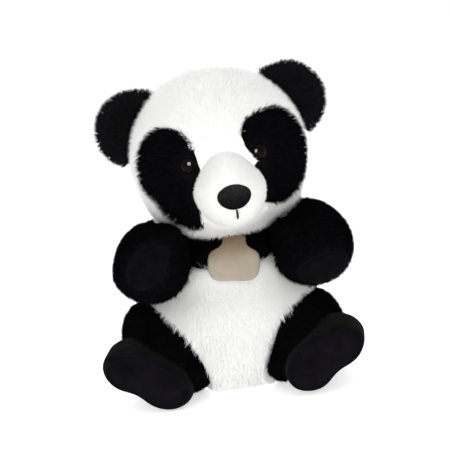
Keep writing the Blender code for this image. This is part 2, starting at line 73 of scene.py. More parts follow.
SEAM_FILL = 0.0034
PATCH_CENTRE = (0.0385, -0.032, -0.0065)
PATCH_YAW = 40.0
PATCH_TILT = 12.0
PATCH_HALF_WIDTH = 0.0285
PATCH_HALF_HEIGHT = 0.0355
# Each cut is an angle of the oval, how far it spreads, and how far it lets the cloth out or takes it in.
PATCH_CUTS = {
    1: [(132, 26, 0.22), (165, 8, -0.24), (185, 11, 0.28), (203, 14, 0.2), (272, 40, -0.16)],
    -1: [(56, 22, 0.05), (8, 8, 0.06), (-54, 18, 0.22), (234, 38, -0.38), (172, 34, -0.13)],
}
EYE_X = 0.0252
EYE_Z = 0.001
EYE_RADIUS = 0.006
EYE_HEIGHT = 0.0042
NOSE_RADII = np.array([0.0115, 0.006, 0.0088])
NOSE_Z = -0.0215
NOSE_WIDENING = 0.22
NOSE_STANDS_OUT = 0.001
STITCH_TOP_Z = -0.0305
STITCH_LENGTH = 0.0075
THREAD_RADIUS = 0.00075
EAR_CENTRE = (0.0565, 0.005, 0.0285)
EAR_RADII = np.array([0.0285, 0.0065, 0.0285])
EAR_CLEARANCE = 0.0028
CHEEK_FUR = (-0.001, 0.006)  # how far the cheek's pile hangs out on the left, and on the right
CHEEK_SLOPE = 0.17  # how fast the room above an arm rises in front of the cheek
ARM_RADIUS = 0.0265
ARM_INSET = 0.0012
SHOULDER = {"left": (0.06, 0.0, 0.102), "right": (-0.056, 0.0, 0.102)}
PAW = {"left": (0.061, -0.048, 0.1), "right": (-0.0545, -0.05, 0.106)}
PAW_PAD_AIM = {"left": (0.2, -0.86, -0.48), "right": (-0.03, -0.98, 0.16)}
PAW_PAD_ROLL = {"left": 20.0, "right": 45.0}
PAW_PAD_RADII = (0.0175, 0.0125)
ARM_PLANE_X = 0.05
ARM_FRONT_Y = -0.037
HIP = (0.049, 0.0, 0.0365)
HIP_RADIUS = 0.0345
ANKLE = (0.051, -0.034, 0.0295)
ANKLE_RADIUS = 0.0285
# Each change to a paw is a direction, how far out it starts, and the share that it presses in.
PAW_SHAPE = {
    "left": [((0.0, 0.0, -1.0), 0.0, 0.05), ((1.0, 0.0, 0.0), 0.0, -0.1)],
    "right": [((-0.7, 0.0, 0.7), 0.012, 0.25)],
}
ANKLE_SKIN = (0.0535, -0.034, 0.0275)
ANKLE_INSET = 0.004
THIGH_INSET = {1: 0.0045, -1: 0.001}
# Heights, and how far out the leg's seam leans at each.
SEAM_LEAN = (
    [0.01, 0.03, 0.045, 0.055, 0.064, 0.074],
    [-0.012, -0.006, 0.0, 0.005, 0.012, 0.03],
)
HIP_PLANE_TURN = 22.0
HIP_PLANE_DISTANCE = 0.0455
FOOT_CENTRE = (0.063, -0.046, 0.024)
FOOT_HALF_LENGTH = 0.035
FOOT_HALF_HEIGHT = 0.0172
FOOT_HALF_DEPTH = 0.03
FOOT_ROLL = 31.0
FOOT_INSTEP = 0.42
HEEL_LENGTH = {1: 0.84, -1: 0.96}
SOLE_Y = -0.067
LABEL_TOP = (0.0075, -0.0335, 0.1155)
LABEL_LEAN = 35.0
LABEL_ROLL = 9.0
LABEL_MIDDLE = (0.0, -0.0185)
LABEL_OUTLINE = [
    (0.0, 0.0),
    (0.0075, 0.0),
    (0.0095, -0.008),
    (0.018, -0.015),
    (0.0175, -0.029),
    (0.0115, -0.0345),
    (0.0, -0.035),
]

# ---- The rest of the looks ----

FLOOR_FADE = 0.004  # the height below which the pile is pressed flat
FLOOR_SIZE = 12.0
LAMPS_AIM = (0.0, 0.0, 0.12)
CAMERA_TARGET = (0.002, 0.0, 0.118)
CAMERA_DISTANCE = 0.85
CAMERA_VIEW_WIDTH = 0.3375  # what the camera sees across, at its target
CAMERA_ELEVATION = 10.0
CAMERA_ROLL = -8.5

SIDES = {"left": 1, "right": -1}
RNG = np.random.default_rng(11)


# ---- Small mathematics ----


def smooth(t):
    t = np.clip(t, 0.0, 1.0)
    return t * t * (3.0 - 2.0 * t)


def unit(v):
    return v / np.maximum(np.linalg.norm(v, axis=-1, keepdims=True), 1e-12)


def dot(a, b):
    return np.sum(a * b, axis=-1)


def placed(points, matrix):
    """Points moved by a 4x4 matrix."""
    m = np.array(matrix)
    return points @ m[:3, :3].T + m[:3, 3]


def turned(vectors, matrix):
    return vectors @ np.array(matrix)[:3, :3].T


def waves(points, wavelength, seed):
    """A smooth, wandering vector at each point, from about -1 to 1."""
    rng = np.random.default_rng(seed)
    total = np.zeros_like(points)
    for _ in range(4):
        k = unit(rng.normal(size=(3, 3))) * (2 * math.pi / wavelength) * rng.uniform(0.7, 1.4)
        total += np.sin(points @ k.T + rng.uniform(0, 2 * math.pi, 3))
    return total / 2.4


def ring(count):
    """Angles evenly spread round a circle."""
    return np.linspace(0, 2 * math.pi, count, endpoint=False)


def oval(angles, half_width, half_height):
    return np.stack([np.cos(angles) * half_width, np.sin(angles) * half_height], -1)


def spline(p0, p1, p2, p3, steps):
    """Points of a smooth curve from p1 up to p2."""
    t = np.linspace(0, 1, steps, endpoint=False)[:, None]
    return 0.5 * (
        2 * p1 + (p2 - p0) * t + (2 * p0 - 5 * p1 + 4 * p2 - p3) * t**2 + (3 * p1 - p0 - 3 * p2 + p3) * t**3
    )


def mirrored(point, side):
    return (point[0] * side, point[1], point[2])


def rotation(degrees, axis):
    return Matrix.Rotation(math.radians(degrees), 4, axis)


def aimed(place, direction, roll=0.0):
    """A frame at place whose Z runs along direction."""
    turn = Vector(direction).to_track_quat("Z", "Y").to_matrix().to_4x4()
    return Matrix.Translation(Vector(place)) @ turn @ rotation(roll, "Z")


TORSO = rotation(TORSO_YAW, "Z")
HEAD = Matrix.Translation(HEAD_CENTRE) @ rotation(HEAD_YAW, "Z") @ rotation(HEAD_ROLL, "Y")


def in_head_frame(points):
    return placed(points, HEAD.inverted())


# ---- Meshes ----


def quad_sphere(n):
    """Unit vectors and quads of a sphere made from a cube's six faces, n quads along each edge."""
    t = np.tan(np.linspace(-1, 1, n + 1) * math.pi / 4)
    a, b = np.meshgrid(t, t, indexing="ij")
    ones = np.ones_like(a)
    sides = [(a, b, ones), (b, a, -ones), (ones, a, b), (-ones, b, a), (b, ones, a), (a, -ones, b)]
    verts = np.concatenate([np.stack(s, -1).reshape(-1, 3) for s in sides])
    quads = []
    for s in range(6):
        index = np.arange((n + 1) ** 2).reshape(n + 1, n + 1) + s * (n + 1) ** 2
        corners = (index[:-1, :-1], index[1:, :-1], index[1:, 1:], index[:-1, 1:])
        quads.append(np.stack(corners, -1).reshape(-1, 4))
    verts, inverse = np.unique(np.round(verts, 9), axis=0, return_inverse=True)
    return unit(verts), inverse.reshape(-1)[np.concatenate(quads)]


def grid_quads(rows, columns, start=0, wrap=False):
    """The quads of a grid of points, numbered row by row from start."""
    index = np.arange(rows * columns).reshape(rows, columns) + start
    if wrap:
        index = np.concatenate([index, index[:, :1]], 1)
    corners = [index[:-1, :-1], index[:-1, 1:], index[1:, 1:], index[1:, :-1]]
    return np.stack(corners, -1).reshape(-1, 4)


def ring_faces(rows, columns):
    """The faces of a body of rings, closed by the two points that follow them, first and last end."""
    faces = grid_quads(rows, columns, 0, True).tolist()
    for first, tip in ((0, rows * columns), ((rows - 1) * columns, rows * columns + 1)):
        faces += [[first + n, first + (n + 1) % columns, tip] for n in range(columns)]
    return faces


def linked(name, data):
    """A new object in the scene."""
    ob = bpy.data.objects.new(name, data)
    bpy.context.scene.collection.objects.link(ob)
    return ob


def make(name, verts, faces, material):
    """A smooth-shaded mesh object that faces outward."""
    mesh = bpy.data.meshes.new(name)
    mesh.from_pydata(verts, [], faces)
    mesh.materials.append(material)
    bm = bmesh.new()
    bm.from_mesh(mesh)
    bmesh.ops.recalc_face_normals(bm, faces=bm.faces)
    if bm.calc_volume(signed=True) < 0:
        bmesh.ops.reverse_faces(bm, faces=bm.faces)
    bm.to_mesh(mesh)
    bm.free()
    mesh.shade_smooth()
    return linked(name, mesh)


def edge_roll(distance, edge):
    """How far a sewn edge has turned in, from 1 at the seam to 0 at edge's distance from it."""
    return 1.0 - np.sqrt(1.0 - (1.0 - np.clip(distance / edge, 0, 1)) ** 2)


def shell(name, grid, thickness, edge, inside, material):
    """A closed sewn panel from a grid of outer points: its edges are turned in and its back is inset.
    Inside is a point behind the panel."""
    rows, columns = grid.shape[:2]
    normals = unit(np.cross(np.gradient(grid, axis=1), np.gradient(grid, axis=0)))
    if dot(normals, grid - np.array(inside)).mean() < 0:
        normals = -normals
    near = np.inf
    for axis in (0, 1):
        steps = np.linalg.norm(np.diff(grid, axis=axis), axis=-1).cumsum(axis)
        run = np.insert(steps, 0, 0.0, axis=axis)
        near = np.minimum(near, np.minimum(run, np.take(run, [-1], axis=axis) - run))
    roll = edge_roll(near, edge) * thickness * 0.45
    front = grid - normals * roll[..., None]
    back = grid - normals * (thickness - roll * 0.3)[..., None]
    count = rows * columns
    verts = np.concatenate([front.reshape(-1, 3), back.reshape(-1, 3)])
    quads = [grid_quads(rows, columns), grid_quads(rows, columns, count)]
    index = np.arange(count).reshape(rows, columns)
    for rim in (index[0], index[-1], index[:, 0], index[:, -1]):
        quads.append(np.stack([rim[:-1], rim[:-1] + count, rim[1:] + count, rim[1:]], -1))
    return make(name, verts, np.concatenate(quads), material)


def polar_shell(name, outline, lift, rings, thickness, edge, material):
    """A closed panel inside an outline in its own XY plane; lift(x, y) gives its outer points and normals."""
    columns = len(outline)
    share = np.linspace(0.0, 1.0, rings + 1)[1:] ** 0.85
    flat = outline[None, :, :] * share[:, None, None]
    points, normals = lift(flat[..., 0], flat[..., 1])
    middle, middle_normal = lift(np.zeros(1), np.zeros(1))
    distance = np.linalg.norm(outline, axis=-1)[None, :] * (1.0 - share[:, None])
    roll = edge_roll(distance, edge) * thickness * 0.55
    front = (points - normals * roll[..., None]).reshape(-1, 3)
    back = (points - normals * thickness).reshape(-1, 3)
    count = rings * columns
    verts = np.concatenate([front, back, middle, middle - middle_normal * thickness])
    faces = [*grid_quads(rings, columns, 0, True).tolist(), *grid_quads(rings, columns, count, True).tolist()]
    last = count - columns
    for n in range(columns):
        m = (n + 1) % columns
        faces.append([n, m, 2 * count])
        faces.append([count + m, count + n, 2 * count + 1])
        faces.append([last + m, last + n, last + n + count, last + m + count])
    return make(name, verts, faces, material)


# ---- Materials ----


def principled(name, color, roughness, specular=0.3, sheen=0.0):
    made = bpy.data.materials.new(name)
    made.use_nodes = True
    shader = made.node_tree.nodes["Principled BSDF"].inputs
    shader["Base Color"].default_value = (*color, 1.0)
    shader["Roughness"].default_value = roughness
    shader["Specular IOR Level"].default_value = specular
    shader["Sheen Weight"].default_value = sheen
    made.diffuse_color = (*color, 1.0)
    return made


def node(tree, kind, inputs, **settings):
    """The outputs of a new shader node. Each input, by name or number, is a value or a socket to link."""
    made = tree.nodes.new(kind)
    for key, value in settings.items():
        setattr(made, key, value)
    for key, value in inputs.items():
        if isinstance(value, bpy.types.NodeSocket):
            tree.links.new(value, made.inputs[key])
        else:
            made.inputs[key].default_value = value
    return made.outputs


def object_place(tree):
    return tree.nodes.new("ShaderNodeTexCoord").outputs["Object"]


def noise(tree, where, scale, detail, roughness=0.5):
    inputs = {"Vector": where, "Scale": scale, "Detail": detail, "Roughness": roughness}
    return node(tree, "ShaderNodeTexNoise", inputs)["Fac"]


def multiplied(tree, tone, other, share):
    """A colour times another, as far as share says."""
    inputs = {0: share, 6: tone, 7: other}
    return node(tree, "ShaderNodeMix", inputs, data_type="RGBA", blend_type="MULTIPLY")[2]


def ramp(tree, factor, stops):
    made = tree.nodes.new("ShaderNodeValToRGB")
    tree.links.new(factor, made.inputs["Fac"])
    elements = made.color_ramp.elements
    while len(elements) < len(stops):
        elements.new(0.5)
    for element, (place, color) in zip(elements, stops, strict=True):
        element.position = place
        element.color = (*color, 1.0)
    return made.outputs["Color"]


def scaled(color, factor):
    return tuple(min(1.0, c * factor) for c in color)


def cloth(name, color, spread, coarse, fine, bump, roughness=0.95, specular=0.1, sheen=0.0):
    """Pile or suede: broad shading where the nap lies differently, fine fibres, and a bump of both."""
    made = principled(name, color, roughness, specular, sheen)
    tree = made.node_tree
    shader = tree.nodes["Principled BSDF"].inputs
    where = object_place(tree)
    broad = noise(tree, where, coarse, 3.0, 0.55)
    fibres = noise(tree, where, fine, 4.0, 0.7)
    nap = node(tree, "ShaderNodeMath", {0: fibres, 1: 0.6, 2: broad}, operation="MULTIPLY_ADD")[0]
    stops = [(0.55, scaled(color, 1.0 - spread)), (0.8, color), (1.0, scaled(color, 1.0 + spread))]
    tree.links.new(ramp(tree, nap, stops), shader["Base Color"])
    bumped = node(tree, "ShaderNodeBump", {"Strength": bump, "Distance": 0.0006, "Height": nap})
    tree.links.new(bumped["Normal"], shader["Normal"])
    return made


def shaded_by_height(made, low, high, stops):
    """Paints shade into a material's colour: multiplies it by a ramp that rises between two heights."""
    tree = made.node_tree
    color = tree.nodes["Principled BSDF"].inputs["Base Color"]
    where = node(tree, "ShaderNodeSeparateXYZ", {"Vector": object_place(tree)})
    rise = node(tree, "ShaderNodeMapRange", {"Value": where["Z"], "From Min": low, "From Max": high})
    shade = ramp(tree, rise["Result"], stops)
    tree.links.new(multiplied(tree, color.links[0].from_socket, shade, 1.0), color)
    return made


def label_material():
    """Suede-like cloth, darker and browner towards its top where it hangs out from under the chin: partly
    painted shade from the chin and partly the cloth's browner tone.
    """
    made = cloth("label_suede", (0.325, 0.28, 0.214), 0.1, 90.0, 3000.0, 0.3, 0.9, 0.1)
    # the top's stops are partly painted shade from the chin and partly a browner tone of the cloth
    stops = [(0.0, (1.0, 1.0, 1.0)), (0.5, (0.74, 0.66, 0.53)), (1.0, (0.52, 0.42, 0.3))]
    return shaded_by_height(made, LABEL_TOP[2] - 0.016, LABEL_TOP[2] - 0.002, stops)


def nose_material():
    """Short, speckled flock, with painted light and shade: darker towards the underside of the nose and paler
    on its top.
    """
    made = cloth("nose_flock", (0.0145, 0.0145, 0.0145), 0.75, 700.0, 2600.0, 1.0, 0.9, 0.02)
    middle = HEAD_CENTRE[2] + NOSE_Z
    # painted shade on the nose's underside and a painted highlight on its top, by height
    stops = [(0.0, (0.08, 0.08, 0.08)), (0.45, (0.26, 0.26, 0.26)), (1.0, (1.1, 1.1, 1.1))]
    return shaded_by_height(made, middle - NOSE_RADII[2], middle + NOSE_RADII[2], stops)


def eye_material():
    """Glossy plastic: a black pupil, a thin brown iris, and a black rim, by distance from the middle."""
    made = principled("eye_plastic", (0.002, 0.0015, 0.0015), 0.05, 0.06)
    tree = made.node_tree
    where = object_place(tree)
    flat = node(tree, "ShaderNodeVectorMath", {0: where, 1: (1.0, 1.0, 0.0)}, operation="MULTIPLY")[0]
    length = node(tree, "ShaderNodeVectorMath", {0: flat}, operation="LENGTH")["Value"]
    share = node(tree, "ShaderNodeMath", {0: length, 1: EYE_RADIUS}, operation="DIVIDE")[0]
    black, brown, amber = (0.0015, 0.0012, 0.0012), (0.005, 0.0026, 0.0016), (0.0032, 0.0019, 0.0015)
    stops = [(0.0, black), (0.6, black), (0.66, brown), (0.8, amber), (0.9, brown), (0.96, black)]
    tone = multiplied(tree, ramp(tree, share, stops), noise(tree, where, 1500.0, 2.0), 0.5)
    tree.links.new(tone, tree.nodes["Principled BSDF"].inputs["Base Color"])
    return made


def fibre_shades(name, colors, specular):
    """The materials that a pile's fibres are shared out between."""
    shades = zip("abc", colors, strict=False)
    return [principled(f"{name}_{letter}", color, 0.9, specular) for letter, color in shades]


WHITE_SKIN = cloth("white_backing", (0.96, 0.957, 0.94), 0.03, 120.0, 1400.0, 0.5)
BLACK_SKIN = cloth("black_backing", (0.004, 0.004, 0.0045), 0.3, 120.0, 1400.0, 0.5, specular=0.0)
MUZZLE_SKIN = cloth("muzzle_pile", (0.84, 0.84, 0.82), 0.05, 160.0, 1800.0, 0.6)
SUEDE = cloth("sole_suede", (0.0042, 0.0038, 0.0056), 0.35, 90.0, 2600.0, 0.35, 0.95, 0.0, 0.02)
UPPER = cloth("foot_velour", (0.004, 0.0038, 0.0044), 0.45, 110.0, 2000.0, 0.6, 0.95, 0.0, 0.02)
PAD = cloth("pad_suede", (0.0027, 0.0026, 0.0031), 0.4, 100.0, 2400.0, 0.45, 0.95, 0.0, 0.01)
FLOCK = nose_material()
LABEL_CLOTH = label_material()
THREAD = cloth("black_thread", (0.006, 0.006, 0.006), 0.4, 900.0, 3200.0, 0.8, 0.7, 0.2)
EYE = eye_material()
WASHER = cloth("washer_plastic", (0.75, 0.75, 0.72), 0.03, 200.0, 1500.0, 0.1, 0.45, 0.5)
WHITE_FUR = fibre_shades(
    "white_fibre", [(0.975, 0.972, 0.952), (0.96, 0.957, 0.932), (0.985, 0.983, 0.968)], 0.04
)
MUZZLE_FUR = fibre_shades("short_fibre", [(0.9, 0.9, 0.885), (0.86, 0.86, 0.84)], 0.1)
BLACK_FUR = fibre_shades(
    "black_fibre", [(0.003, 0.0029, 0.0036), (0.002, 0.0019, 0.0024), (0.0044, 0.0042, 0.0052)], 0.0
)
# Painted light: the ears' fibres are a lighter copy of the black fibres, standing for the light that falls on
# the ears.
PAINTED_LIGHT_EAR_FUR = fibre_shades("ear_fibre_painted_light", [(0.0092, 0.009, 0.01), (0.0064, 0.0062, 0.007)], 0.0)


# ---- Pile ----


class Pile(NamedTuple):
    """How a pile is made. The first four are in metres and degrees; clump is how far the tips are drawn
    together and clump_size how wide, and soft is how far its shading follows the skin's."""

    spacing: float
    length: float
    width: float
    lean: float
    shades: list
    slot: str = "black_pile"
    clump: float = 0.35
    soft: float = 1.5
    clump_size: float = 0.0028


PILES = {
    "belly": Pile(0.001, 0.0078, 0.00062, 48, WHITE_FUR, "white_pile", 0.2, 8.0),
    "back": Pile(0.00105, 0.0078, 0.00062, 48, WHITE_FUR, "white_pile", 0.2, 8.0),
    "chest": Pile(0.00095, 0.007, 0.00062, 48, BLACK_FUR, clump=0.2, soft=8.0),
    "shoulder": Pile(0.00095, 0.007, 0.00062, 48, BLACK_FUR, clump=0.2, soft=8.0),
    "tail": Pile(0.0009, 0.0075, 0.0006, 35, WHITE_FUR, "white_pile"),
    "head": Pile(0.00098, 0.0064, 0.00056, 41, WHITE_FUR, "white_pile", 0.26, 4.0),
    "patch": Pile(0.0008, 0.0066, 0.00056, 46, BLACK_FUR, clump=0.2),
    "muzzle": Pile(0.00072, 0.0034, 0.00056, 50, MUZZLE_FUR, "short_white_pile", 0.3, 4.0, 0.002),
    "ear": Pile(0.00072, 0.0062, 0.00058, 38, PAINTED_LIGHT_EAR_FUR, clump=0.3),
    "arm": Pile(0.0009, 0.0068, 0.00058, 46, BLACK_FUR, clump=0.22),
    "thigh": Pile(0.0009, 0.0066, 0.00058, 46, BLACK_FUR, clump=0.22),
}
FIBRE_ROOT = 0.0008  # how deep a fibre's root is sunk
FIBRE_STRAY = 0.25  # how far a fibre turns from the pile's flow
LENGTH_SPREAD = (0.68, 1.22)
WIDTH_SPREAD = (0.8, 1.2)
LEAN_SPREAD = 7
LEADER_SPACING = 0.0011
FIBRE_VERTS = 7
FIBRE_QUADS = [[0, 1, 4, 3], [1, 2, 5, 4], [2, 0, 3, 5]]
FIBRE_TRIS = [[3, 4, 6], [4, 5, 6], [5, 3, 6], [2, 1, 0]]


def scatter(ob, name):
    """A pile's kind, its roots evenly spread over a mesh, and the normal at each."""
    pile = PILES[name]
    mesh = ob.data
    mesh.calc_loop_triangles()
    co = np.array([v.co for v in mesh.vertices])
    no = np.array([v.normal for v in mesh.vertices])
    tri = np.array([t.vertices for t in mesh.loop_triangles])
    a, b, c = (co[tri[:, n]] for n in range(3))
    areas = np.linalg.norm(np.cross(b - a, c - a), axis=1) / 2
    total = areas.sum()
    count = int(total / pile.spacing**2)
    picked = np.searchsorted(np.cumsum(areas), (np.arange(count) + RNG.random(count)) / count * total)
    corners = tri[np.minimum(picked, len(tri) - 1)]
    r, s = np.sqrt(RNG.random(count))[:, None], RNG.random(count)[:, None]
    weights = np.concatenate([1 - r, r * (1 - s), r * s], 1)
    roots, normals = (sum(weights[:, n : n + 1] * of[corners[:, n]] for n in range(3)) for of in (co, no))
    return pile, roots, unit(normals)


def chosen(keep, *arrays):
    """The rows to keep of each array."""
    return [a[keep] for a in arrays]


def clumped(pile, roots, middle, tip):
    """Fibres' middles and tips, drawn towards those of the nearest leading fibre."""
    count = len(roots)
    leader_count = max(1, int(count * (LEADER_SPACING / pile.clump_size) ** 2))
    leaders = RNG.choice(count, leader_count, replace=False)
    tree = KDTree(len(leaders))
    for n, leader in enumerate(leaders):
        tree.insert(roots[leader], n)
    tree.balance()
    mine = leaders[np.array([tree.find(r)[1] for r in roots])]
    hold = pile.clump * RNG.uniform(0.4, 1.0, count)[:, None]
    return middle + (middle[mine] - middle) * hold * 0.3, tip + (tip[mine] - tip) * hold


def grow(name, body, pile, roots, normals, flow, length, lean=None):
    """A pile of fibres: each leans with the flow, bends, tapers to a point and is a closed thin body."""
    count = len(roots)
    length = (length * RNG.uniform(*LENGTH_SPREAD, count))[:, None]
    flow = flow - normals * dot(flow, normals)[:, None]
    side = RNG.normal(size=(count, 3))
    side -= normals * dot(side, normals)[:, None]
    flow = unit(unit(flow) + side * FIBRE_STRAY)
    lean = pile.lean if lean is None else lean
    lean = np.radians(lean + RNG.normal(0, LEAN_SPREAD, count))[:, None]
    first = normals * np.cos(lean * 0.75) + flow * np.sin(lean * 0.75)
    second = normals * np.cos(lean * 1.2) + flow * np.sin(lean * 1.2)
    base = roots - normals * FIBRE_ROOT
    middle = base + first * (length * 0.5)
    tip = middle + second * (length * 0.5)
    middle, tip = clumped(pile, roots, middle, tip)
    axis = unit(middle - base)
    across = unit(np.cross(axis, side + 1e-6))
    other = np.cross(axis, across)
    verts = np.zeros((count, FIBRE_VERTS, 3))
    shading = np.zeros((count, FIBRE_VERTS, 3))
    wide = (pile.width * RNG.uniform(*WIDTH_SPREAD, count))[:, None]
    for n, angle in enumerate(ring(3)):
        out = across * math.cos(angle) + other * math.sin(angle)
        verts[:, n] = base + out * (wide / 2)
        verts[:, n + 3] = middle + out * (wide * 0.36)
        shading[:, n] = shading[:, n + 3] = unit(normals * pile.soft + out)
    verts[:, 6] = tip
    shading[:, 6] = unit(normals + second * 0.4)
    corners = np.concatenate([np.ravel(FIBRE_QUADS), np.ravel(FIBRE_TRIS)])
    sizes = [4] * len(FIBRE_QUADS) + [3] * len(FIBRE_TRIS)
    all_corners = (np.arange(count) * FIBRE_VERTS)[:, None] + corners
    starts = (np.arange(count) * len(corners))[:, None] + np.concatenate([[0], np.cumsum(sizes)[:-1]])
    mesh = bpy.data.meshes.new(name)
    for items, size, attribute, values in (
        (mesh.vertices, count * FIBRE_VERTS, "co", verts.astype(np.float32)),
        (mesh.loops, all_corners.size, "vertex_index", all_corners.astype(np.int32)),
        (mesh.polygons, starts.size, "loop_start", starts.astype(np.int32)),
    ):
        items.add(size)
        items.foreach_set(attribute, values.ravel())
    for shade in pile.shades:
        mesh.materials.append(shade)
    shade_index = np.repeat(RNG.integers(0, len(pile.shades), count), len(sizes))
    mesh.polygons.foreach_set("material_index", shade_index.astype(np.int32))
    mesh.update(calc_edges=True)
    mesh.shade_smooth()
    mesh.normals_split_custom_set_from_vertices(shading.reshape(-1, 3).tolist())
    finish(linked(name, mesh), body, pile.slot)


def finish(ob, body, slot, *nodes):
    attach(ob, body)
    if nodes:
        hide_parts(*nodes)


def padded(ob, body, slot, fill, *nodes):
    """Finishes a stuffed skin."""
    finish(ob, body, slot, *nodes)
    return ob


# ---- Forms that the pile has to keep clear of ----


def in_head(local):
    """How far inside the plain oval head each point of its frame is, as a share of its radii."""
    return 1.0 - np.linalg.norm(local / HEAD_RADII, axis=1)


def in_capsule(points, start, end, start_radius, end_radius):
    """How deep inside a capsule each point is, in metres."""
    a, b = np.array(start), np.array(end)
    t = np.clip((points - a) @ (b - a) / dot(b - a, b - a), 0, 1)
    radii = start_radius + (end_radius - start_radius) * t
    return radii - np.linalg.norm(points - (a + t[:, None] * (b - a)), axis=1)


def in_torso(points):
    x, y, z = placed(points, TORSO.inverted()).T
    radii, heights = np.array(TORSO_PROFILE)[::-1].T
    inside = np.interp(z, heights, radii) - np.hypot(x, y / TORSO_DEPTH)
    return np.where((z > 0) & (z < heights[-1]), inside, -1.0)


def in_leg(points, side):
    local = placed(points, TORSO.inverted())
    return in_capsule(local, mirrored(HIP, side), mirrored(ANKLE, side), HIP_RADIUS, ANKLE_RADIUS)


def in_arm(points, word):
    return in_capsule(points, SHOULDER[word], PAW[word], ARM_RADIUS, ARM_RADIUS)


def above_floor(points):
    """0 where the floor presses the pile flat, and 1 where it stands."""
    return smooth((points[:, 2] - FLOOR_FADE) / 0.012)


def leg_plane_normal(side):
    turn = math.radians(HIP_PLANE_TURN)
    return turned(np.array([[math.cos(turn) * side, -math.sin(turn), 0.0]]), TORSO)


def past_leg_seam(points, side):
    """How far each point is past the side where the leg is sewn on: nearly flat, and leaning out above."""
    seam = HIP_PLANE_DISTANCE + np.interp(points[:, 2], *SEAM_LEAN)
    return dot(points, leg_plane_normal(side)) - seam


def under_cheek(points):
    """How far each point is below the head's lower rim, which an arm in front of it must not hide."""
    x, y, z = points.T
    forward = np.maximum(HEAD_CENTRE[1] - y, 0.0)
    fur = np.where(x > 0, *CHEEK_FUR) * smooth(forward / 0.03)
    across = np.clip(in_head_frame(points)[:, 0] / (HEAD_RADII[0] + fur), -1, 1)
    rim = HEAD_CENTRE[2] - (HEAD_RADII[2] + fur) * np.sqrt(1.0 - across**2)
    rim += (x - HEAD_CENTRE[0]) * math.sin(math.radians(HEAD_ROLL))
    return np.where(np.abs(across) < 1.0, rim + forward * CHEEK_SLOPE - z, 0.1)


# ---- Torso ----


def torso_line(low, high, steps):
    """Points of a smooth curve through the torso's profile, between two heights."""
    profile = np.array(TORSO_PROFILE)
    ends = profile[:1] * 2 - profile[1:2], profile[-1:] * 2 - profile[-2:-1]
    guide = np.concatenate([ends[0], profile, ends[1]])
    pieces = [spline(*guide[n - 1 : n + 3], 12) for n in range(1, len(guide) - 2)]
    fine = np.concatenate(pieces + [profile[-1:]])
    fine = fine[(fine[:, 1] >= low) & (fine[:, 1] <= high)]
    length = np.concatenate([[0], np.cumsum(np.linalg.norm(np.diff(fine, axis=0), axis=1))])
    at = np.linspace(0, length[-1], steps)
    return np.interp(at, length, fine[:, 0]), np.interp(at, length, fine[:, 1])


def torso_panel(name, front, upper, material):
    """A quarter of the torso's skin: its front or its back, above or below the yoke's seam."""
    radius, height = torso_line(YOKE_SEAM_Z, 0.2, 14) if upper else torso_line(0.0, YOKE_SEAM_Z, 48)
    columns, gap = 56, 0.012
    first, last = (math.pi + gap, 2 * math.pi - gap) if front else (gap, math.pi - gap)
    angles = np.linspace(first, last, columns)
    x = radius[:, None] * np.cos(angles)
    y = radius[:, None] * np.sin(angles) * TORSO_DEPTH
    z = np.broadcast_to(height[:, None], x.shape)
    points = placed(np.stack([x, y, z], -1).reshape(-1, 3), TORSO)
    lumps = waves(points, 0.05, 5)[:, :1] * 0.0006 * (points[:, 2:3] > 0.004)
    points = points + unit(points * [1, 1, 0]) * lumps
    for side in SIDES.values():
        past = np.maximum(past_leg_seam(points, side), 0.0)
        points = points - leg_plane_normal(side) * past[:, None]
    return shell(name, points.reshape(*x.shape, 3), 0.003, 0.0025, (0.0, 0.0, 0.05), material)


def torso_flow(points):
    """The pile's lie on the body: downward, and out to the sides."""
    flow = unit(points * [1, 1, 0]) * 0.35 + [0.0, 0.0, -1.0]
    return flow + waves(points, 0.035, 21) * 0.45


def build_torso():
    skins = {}
    for name, cover, front, upper, *inner in (
        ("belly", "belly_panel", True, False, "torso_stuffing", "pellet_bag"),
        ("back", "back_panel", False, False),
        ("chest", "chest_yoke", True, True),
        ("shoulder", "shoulder_yoke", False, True),
    ):
        skin = torso_panel(f"{cover}_skin", front, upper, BLACK_SKIN if upper else WHITE_SKIN)
        skins[name] = padded(skin, "torso", PILES[name].slot, 0.75, cover, *inner)
    for name, skin in skins.items():
        pile, roots, normals = scatter(skin, name)
        outward = dot(normals, unit(roots * [1, 1, 0])) > 0.1
        outward |= (normals[:, 2] > 0.3) & (in_torso(roots) < 0.0015)
        keep = outward & (in_torso(roots) < 0.0018) & (roots[:, 2] > 0.0045)
        for word, side in SIDES.items():
            keep &= past_leg_seam(roots, side) < -0.0006
            keep &= (in_leg(roots, side) < 0.002) | (past_leg_seam(roots, side) < 0.0)
            keep &= in_arm(roots, word) < 0.004
        keep &= in_head(in_head_frame(roots)) < 0.04
        roots, normals = chosen(keep, roots, normals)
        low = above_floor(roots)
        length = pile.length
        if name in ("chest", "shoulder"):
            length = length * (0.35 + 0.65 * smooth((roots[:, 2] - YOKE_SEAM_Z) / 0.01))
        flow = torso_flow(roots)
        flow[:, 2] *= 0.2 + 0.8 * low
        grow(f"{name}_pile", "torso", pile, roots, normals, flow, length * (0.55 + 0.45 * low))
    build_seat()
    build_tail()


def build_seat():
    def lift(x, y):
        flat = placed(np.stack([x, -y, np.zeros_like(x)], -1), TORSO)
        return flat, np.broadcast_to([0.0, 0.0, -1.0], flat.shape)

    outline = oval(ring(64), SEAT_RADIUS, TORSO_DEPTH * SEAT_RADIUS)
    seat = polar_shell("seat_panel_skin", outline, lift, 12, 0.0025, 0.002, WHITE_SKIN)
    finish(seat, "torso", "white_pile", "seat_panel")


